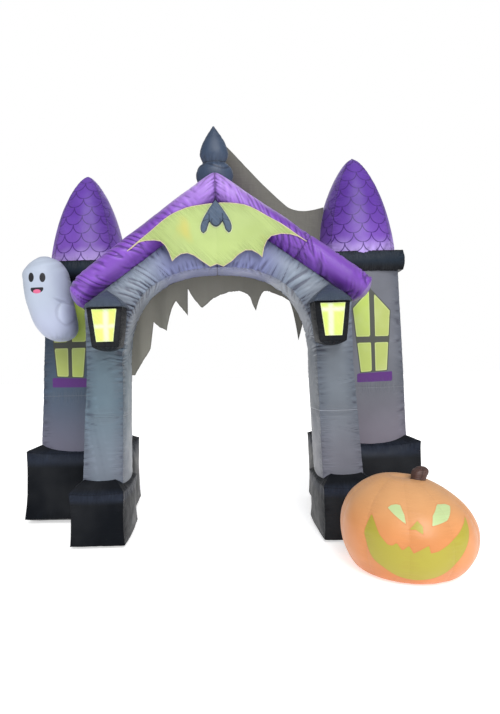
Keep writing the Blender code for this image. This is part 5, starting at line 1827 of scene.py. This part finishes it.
def make_cloth():
    sheets = settings().sheets
    outline = cloth_outline(0.0090, sheets.fray)
    x, top, torn = outline
    edge = list(zip(x[::3], top[::3])) + list(zip(x[::-1], torn[::-1]))

    def front(x, z):
        hanging = wander(x / 0.045, z / 0.50, 821) + 0.5 * wander(x / 0.022, z / 0.30, 823)
        return cloth_front(x, z) + 0.0045 * (1 + hanging / 1.5)

    def values(x, z):
        away = np.maximum(-outside(x, z, edge), 0)
        return {"seam": away, "stitch": x, "edge_away": away}

    return sheet_piece(sewn("tattered_cloth"), outline, 96, front, sheets.thickness, values)


def make_cloth_room():
    """From just in front of the cloth to well behind it, where nothing else may reach."""
    x, top, torn = cloth_outline(0.02, 0.0)
    clear = CLOTH_HANG["clear"]
    outline = (x, top + clear, torn - clear)
    return sheet_piece("cloth_room", outline, 48, lambda px, pz: cloth_front(px, pz) - clear, ROOM_REACH)


def gauze(name, colour):
    """Loose grey muslin: open weave, slubs, faded patches and a darker torn edge."""
    f = Finish(name)
    x, _, z = f.split()
    faded = f.noise(f.place, 2.4, 3.0, 0.6)
    # Painted light and shade: the cloth is darker above 2.30 m and paler below 2.15 m.
    lit = f.blend(f.fade(z, 2.30, 2.15), scaled(colour, 0.58), scaled(colour, 1.22))
    f.shade = f.blend(f.fade(faded, 0.35, 0.65, 0.0, 0.10), lit, "faded_muslin")
    slubs = f.noise(f.vector(f.times(x, 8.0), f.times(z, 140.0), 0.0), 1.0, 3.0, 0.6)
    threads = f.noise(f.vector(f.times(x, 170.0), f.times(z, 7.0), 3.0), 1.0, 3.0, 0.6)
    grain = f.times(f.plus(slubs, threads), 0.5)
    f.lay(f.fade(grain, 0.42, 0.60, 0.0, 0.12), scaled(colour, 1.5))
    f.lay(f.fade(f.kept("edge_away"), 0.001, 0.012, 0.45, 0.0), scaled(colour, 0.35))
    weave = {"Vector": f.place, "Scale": 160.0, "Distortion": 1.5}
    warp, weft = (f.add("ShaderNodeTexWave", weave, bands_direction=way).outputs["Fac"] for way in "XZ")
    height = f.plus(f.times(f.plus(warp, weft), WEAVE["height"]), f.times(grain, 0.0006))
    return f.surface(height, f.fade(grain, 0.3, 0.7, 0.80, 0.95), {"Sheen Weight": 0.15}, 0.8)


class GATEWAY_OT_cloth(bpy.types.Operator):
    """Hangs the tattered grey cloth behind the arch, from the finial to the right cone"""

    bl_idname = "gateway.cloth"
    bl_label = "Tattered cloth"

    def execute(self, context):
        around = [sewn(part + "_right") for part in ("tower", "cornice", "cone")]
        cloth = trim(make_cloth(), around)
        finish_piece(cloth, gauze("grey_muslin", settings().look.cloth))
        return {"FINISHED"}


# ---- stage ----


def add_light(name, kind, strength, size, place, towards):
    light = bpy.data.lights.new(name, kind)
    light.energy = strength
    if kind == "SUN":
        light.angle = math.radians(size)
    else:
        light.shape, light.size = "SQUARE", size
    lamp = linked(name, light)
    lamp.location = place
    lamp.rotation_euler = (Vector(towards) - Vector(place)).to_track_quat("-Z", "Y").to_euler()


FLOOR_LOOK = {
    "Roughness": 0.9,
    "Specular IOR Level": 0.1,
    "Emission Color": (1, 1, 1, 1),
    "Emission Strength": 0.60,
}
LIGHTS_AIM, CAMERA_SHIFT = (0, 0.3, 1.2), 0.0424
LIGHTS = (  # name, setting, kind, size in metres or degrees, place
    ("ceiling_light", "sky", "SUN", 40.0, (0.8, -5.2, 6.2)),
    ("key_light", "key", "AREA", 2.0, (1.8, -4.8, 3.2)),
    ("back_light", "back", "AREA", 4.0, (0.5, 4.8, 5.2)),
)


class GATEWAY_OT_stage(bpy.types.Operator):
    """Lays a pale floor, and sets soft studio light and the camera"""

    bl_idname = "gateway.stage"
    bl_label = "Floor, light and camera"

    def execute(self, context):
        sizes, look = settings().stage, settings().look
        half = sizes.floor_size / 2
        mesh = bpy.data.meshes.new("floor")
        corners = [(half * x, half * y, 0) for x, y in ((-1, -1), (1, -1), (1, 1), (-1, 1))]
        mesh.from_pydata(corners, [], [(0, 1, 2, 3)])
        floor = linked("floor", mesh)
        f = Finish("pale_floor")
        pale = tuple(sizes.floor)
        tone = f.blend(f.noise(f.place, 0.8, 3.0), scaled(pale, 0.985), pale)
        for key, value in {"Base Color": tone, **FLOOR_LOOK}.items():
            f.put(f.shader.inputs[key], value)
        mesh.materials.append(f.material)

        for name, setting, kind, size, place in LIGHTS:
            add_light(name, kind, getattr(sizes, setting), size, place, LIGHTS_AIM)
        world = bpy.data.worlds.new("pale_studio")
        world.use_nodes = True
        tree = world.node_tree
        background = tree.nodes["Background"]
        background.inputs["Color"].default_value = (1, 1, 1, 1)
        seen = tree.nodes.new("ShaderNodeLightPath").outputs["Is Camera Ray"]
        strength = tree.nodes.new("ShaderNodeMapRange")
        strength.inputs["To Min"].default_value = sizes.surround
        tree.links.new(seen, strength.inputs["Value"])
        tree.links.new(strength.outputs["Result"], background.inputs["Strength"])
        context.scene.world = world
        context.scene.view_settings.view_transform = "Standard"

        camera = linked("camera", bpy.data.cameras.new("camera"))
        camera.data.sensor_width, camera.data.lens = 36.0, sizes.lens
        camera.data.shift_x = CAMERA_SHIFT
        cosine, sine = math.cos(sizes.camera_roll), math.sin(sizes.camera_roll)
        right, up, back = (cosine, 0, -sine), (sine, 0, cosine), (0, -1, 0)
        turn = Matrix((right, up, back)).transposed().to_4x4()
        place = (look.middle, look.front_face - sizes.camera_back, sizes.camera_height)
        camera.matrix_world = Matrix.Translation(place) @ turn
        context.scene.camera = camera
        return {"FINISHED"}


# ---- the add-on ----

PIECES = (
    GATEWAY_OT_stage,
    GATEWAY_OT_feet,
    GATEWAY_OT_towers,
    GATEWAY_OT_arch,
    GATEWAY_OT_roof,
    GATEWAY_OT_bat,
    GATEWAY_OT_lanterns,
    GATEWAY_OT_ghost,
    GATEWAY_OT_pumpkin,
    GATEWAY_OT_cloth,
)


class GATEWAY_PT_pieces(bpy.types.Panel):
    """Lists the gateway's pieces and their sizes"""

    bl_label = "Castle gateway"
    bl_idname = "GATEWAY_PT_pieces"
    bl_space_type = "VIEW_3D"
    bl_region_type = "UI"
    bl_category = "Gateway"

    def draw(self, context):
        for piece in PIECES:
            self.layout.operator(piece.bl_idname)
        for group in GatewaySettings.__annotations__:
            box = self.layout.box()
            sizes = getattr(context.scene.gateway, group)
            for key in sizes.__annotations__:
                box.prop(sizes, key)


CLASSES = (
    GatewayClothLook,
    GatewayFootSizes,
    GatewayTowerSizes,
    GatewayArchSizes,
    GatewayFigureSizes,
    GatewaySheetSizes,
    GatewayStageSettings,
    GatewaySettings,
    *PIECES,
    GATEWAY_PT_pieces,
)


def register():
    for kind in CLASSES:
        bpy.utils.register_class(kind)
    bpy.types.Scene.gateway = PointerProperty(type=GatewaySettings)


def unregister():
    del bpy.types.Scene.gateway
    for kind in reversed(CLASSES):
        bpy.utils.unregister_class(kind)


def main():
    register()
    for piece in PIECES:
        group, name = piece.bl_idname.split(".")
        getattr(getattr(bpy.ops, group), name)()
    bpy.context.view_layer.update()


if __name__ == "__main__":
    main()
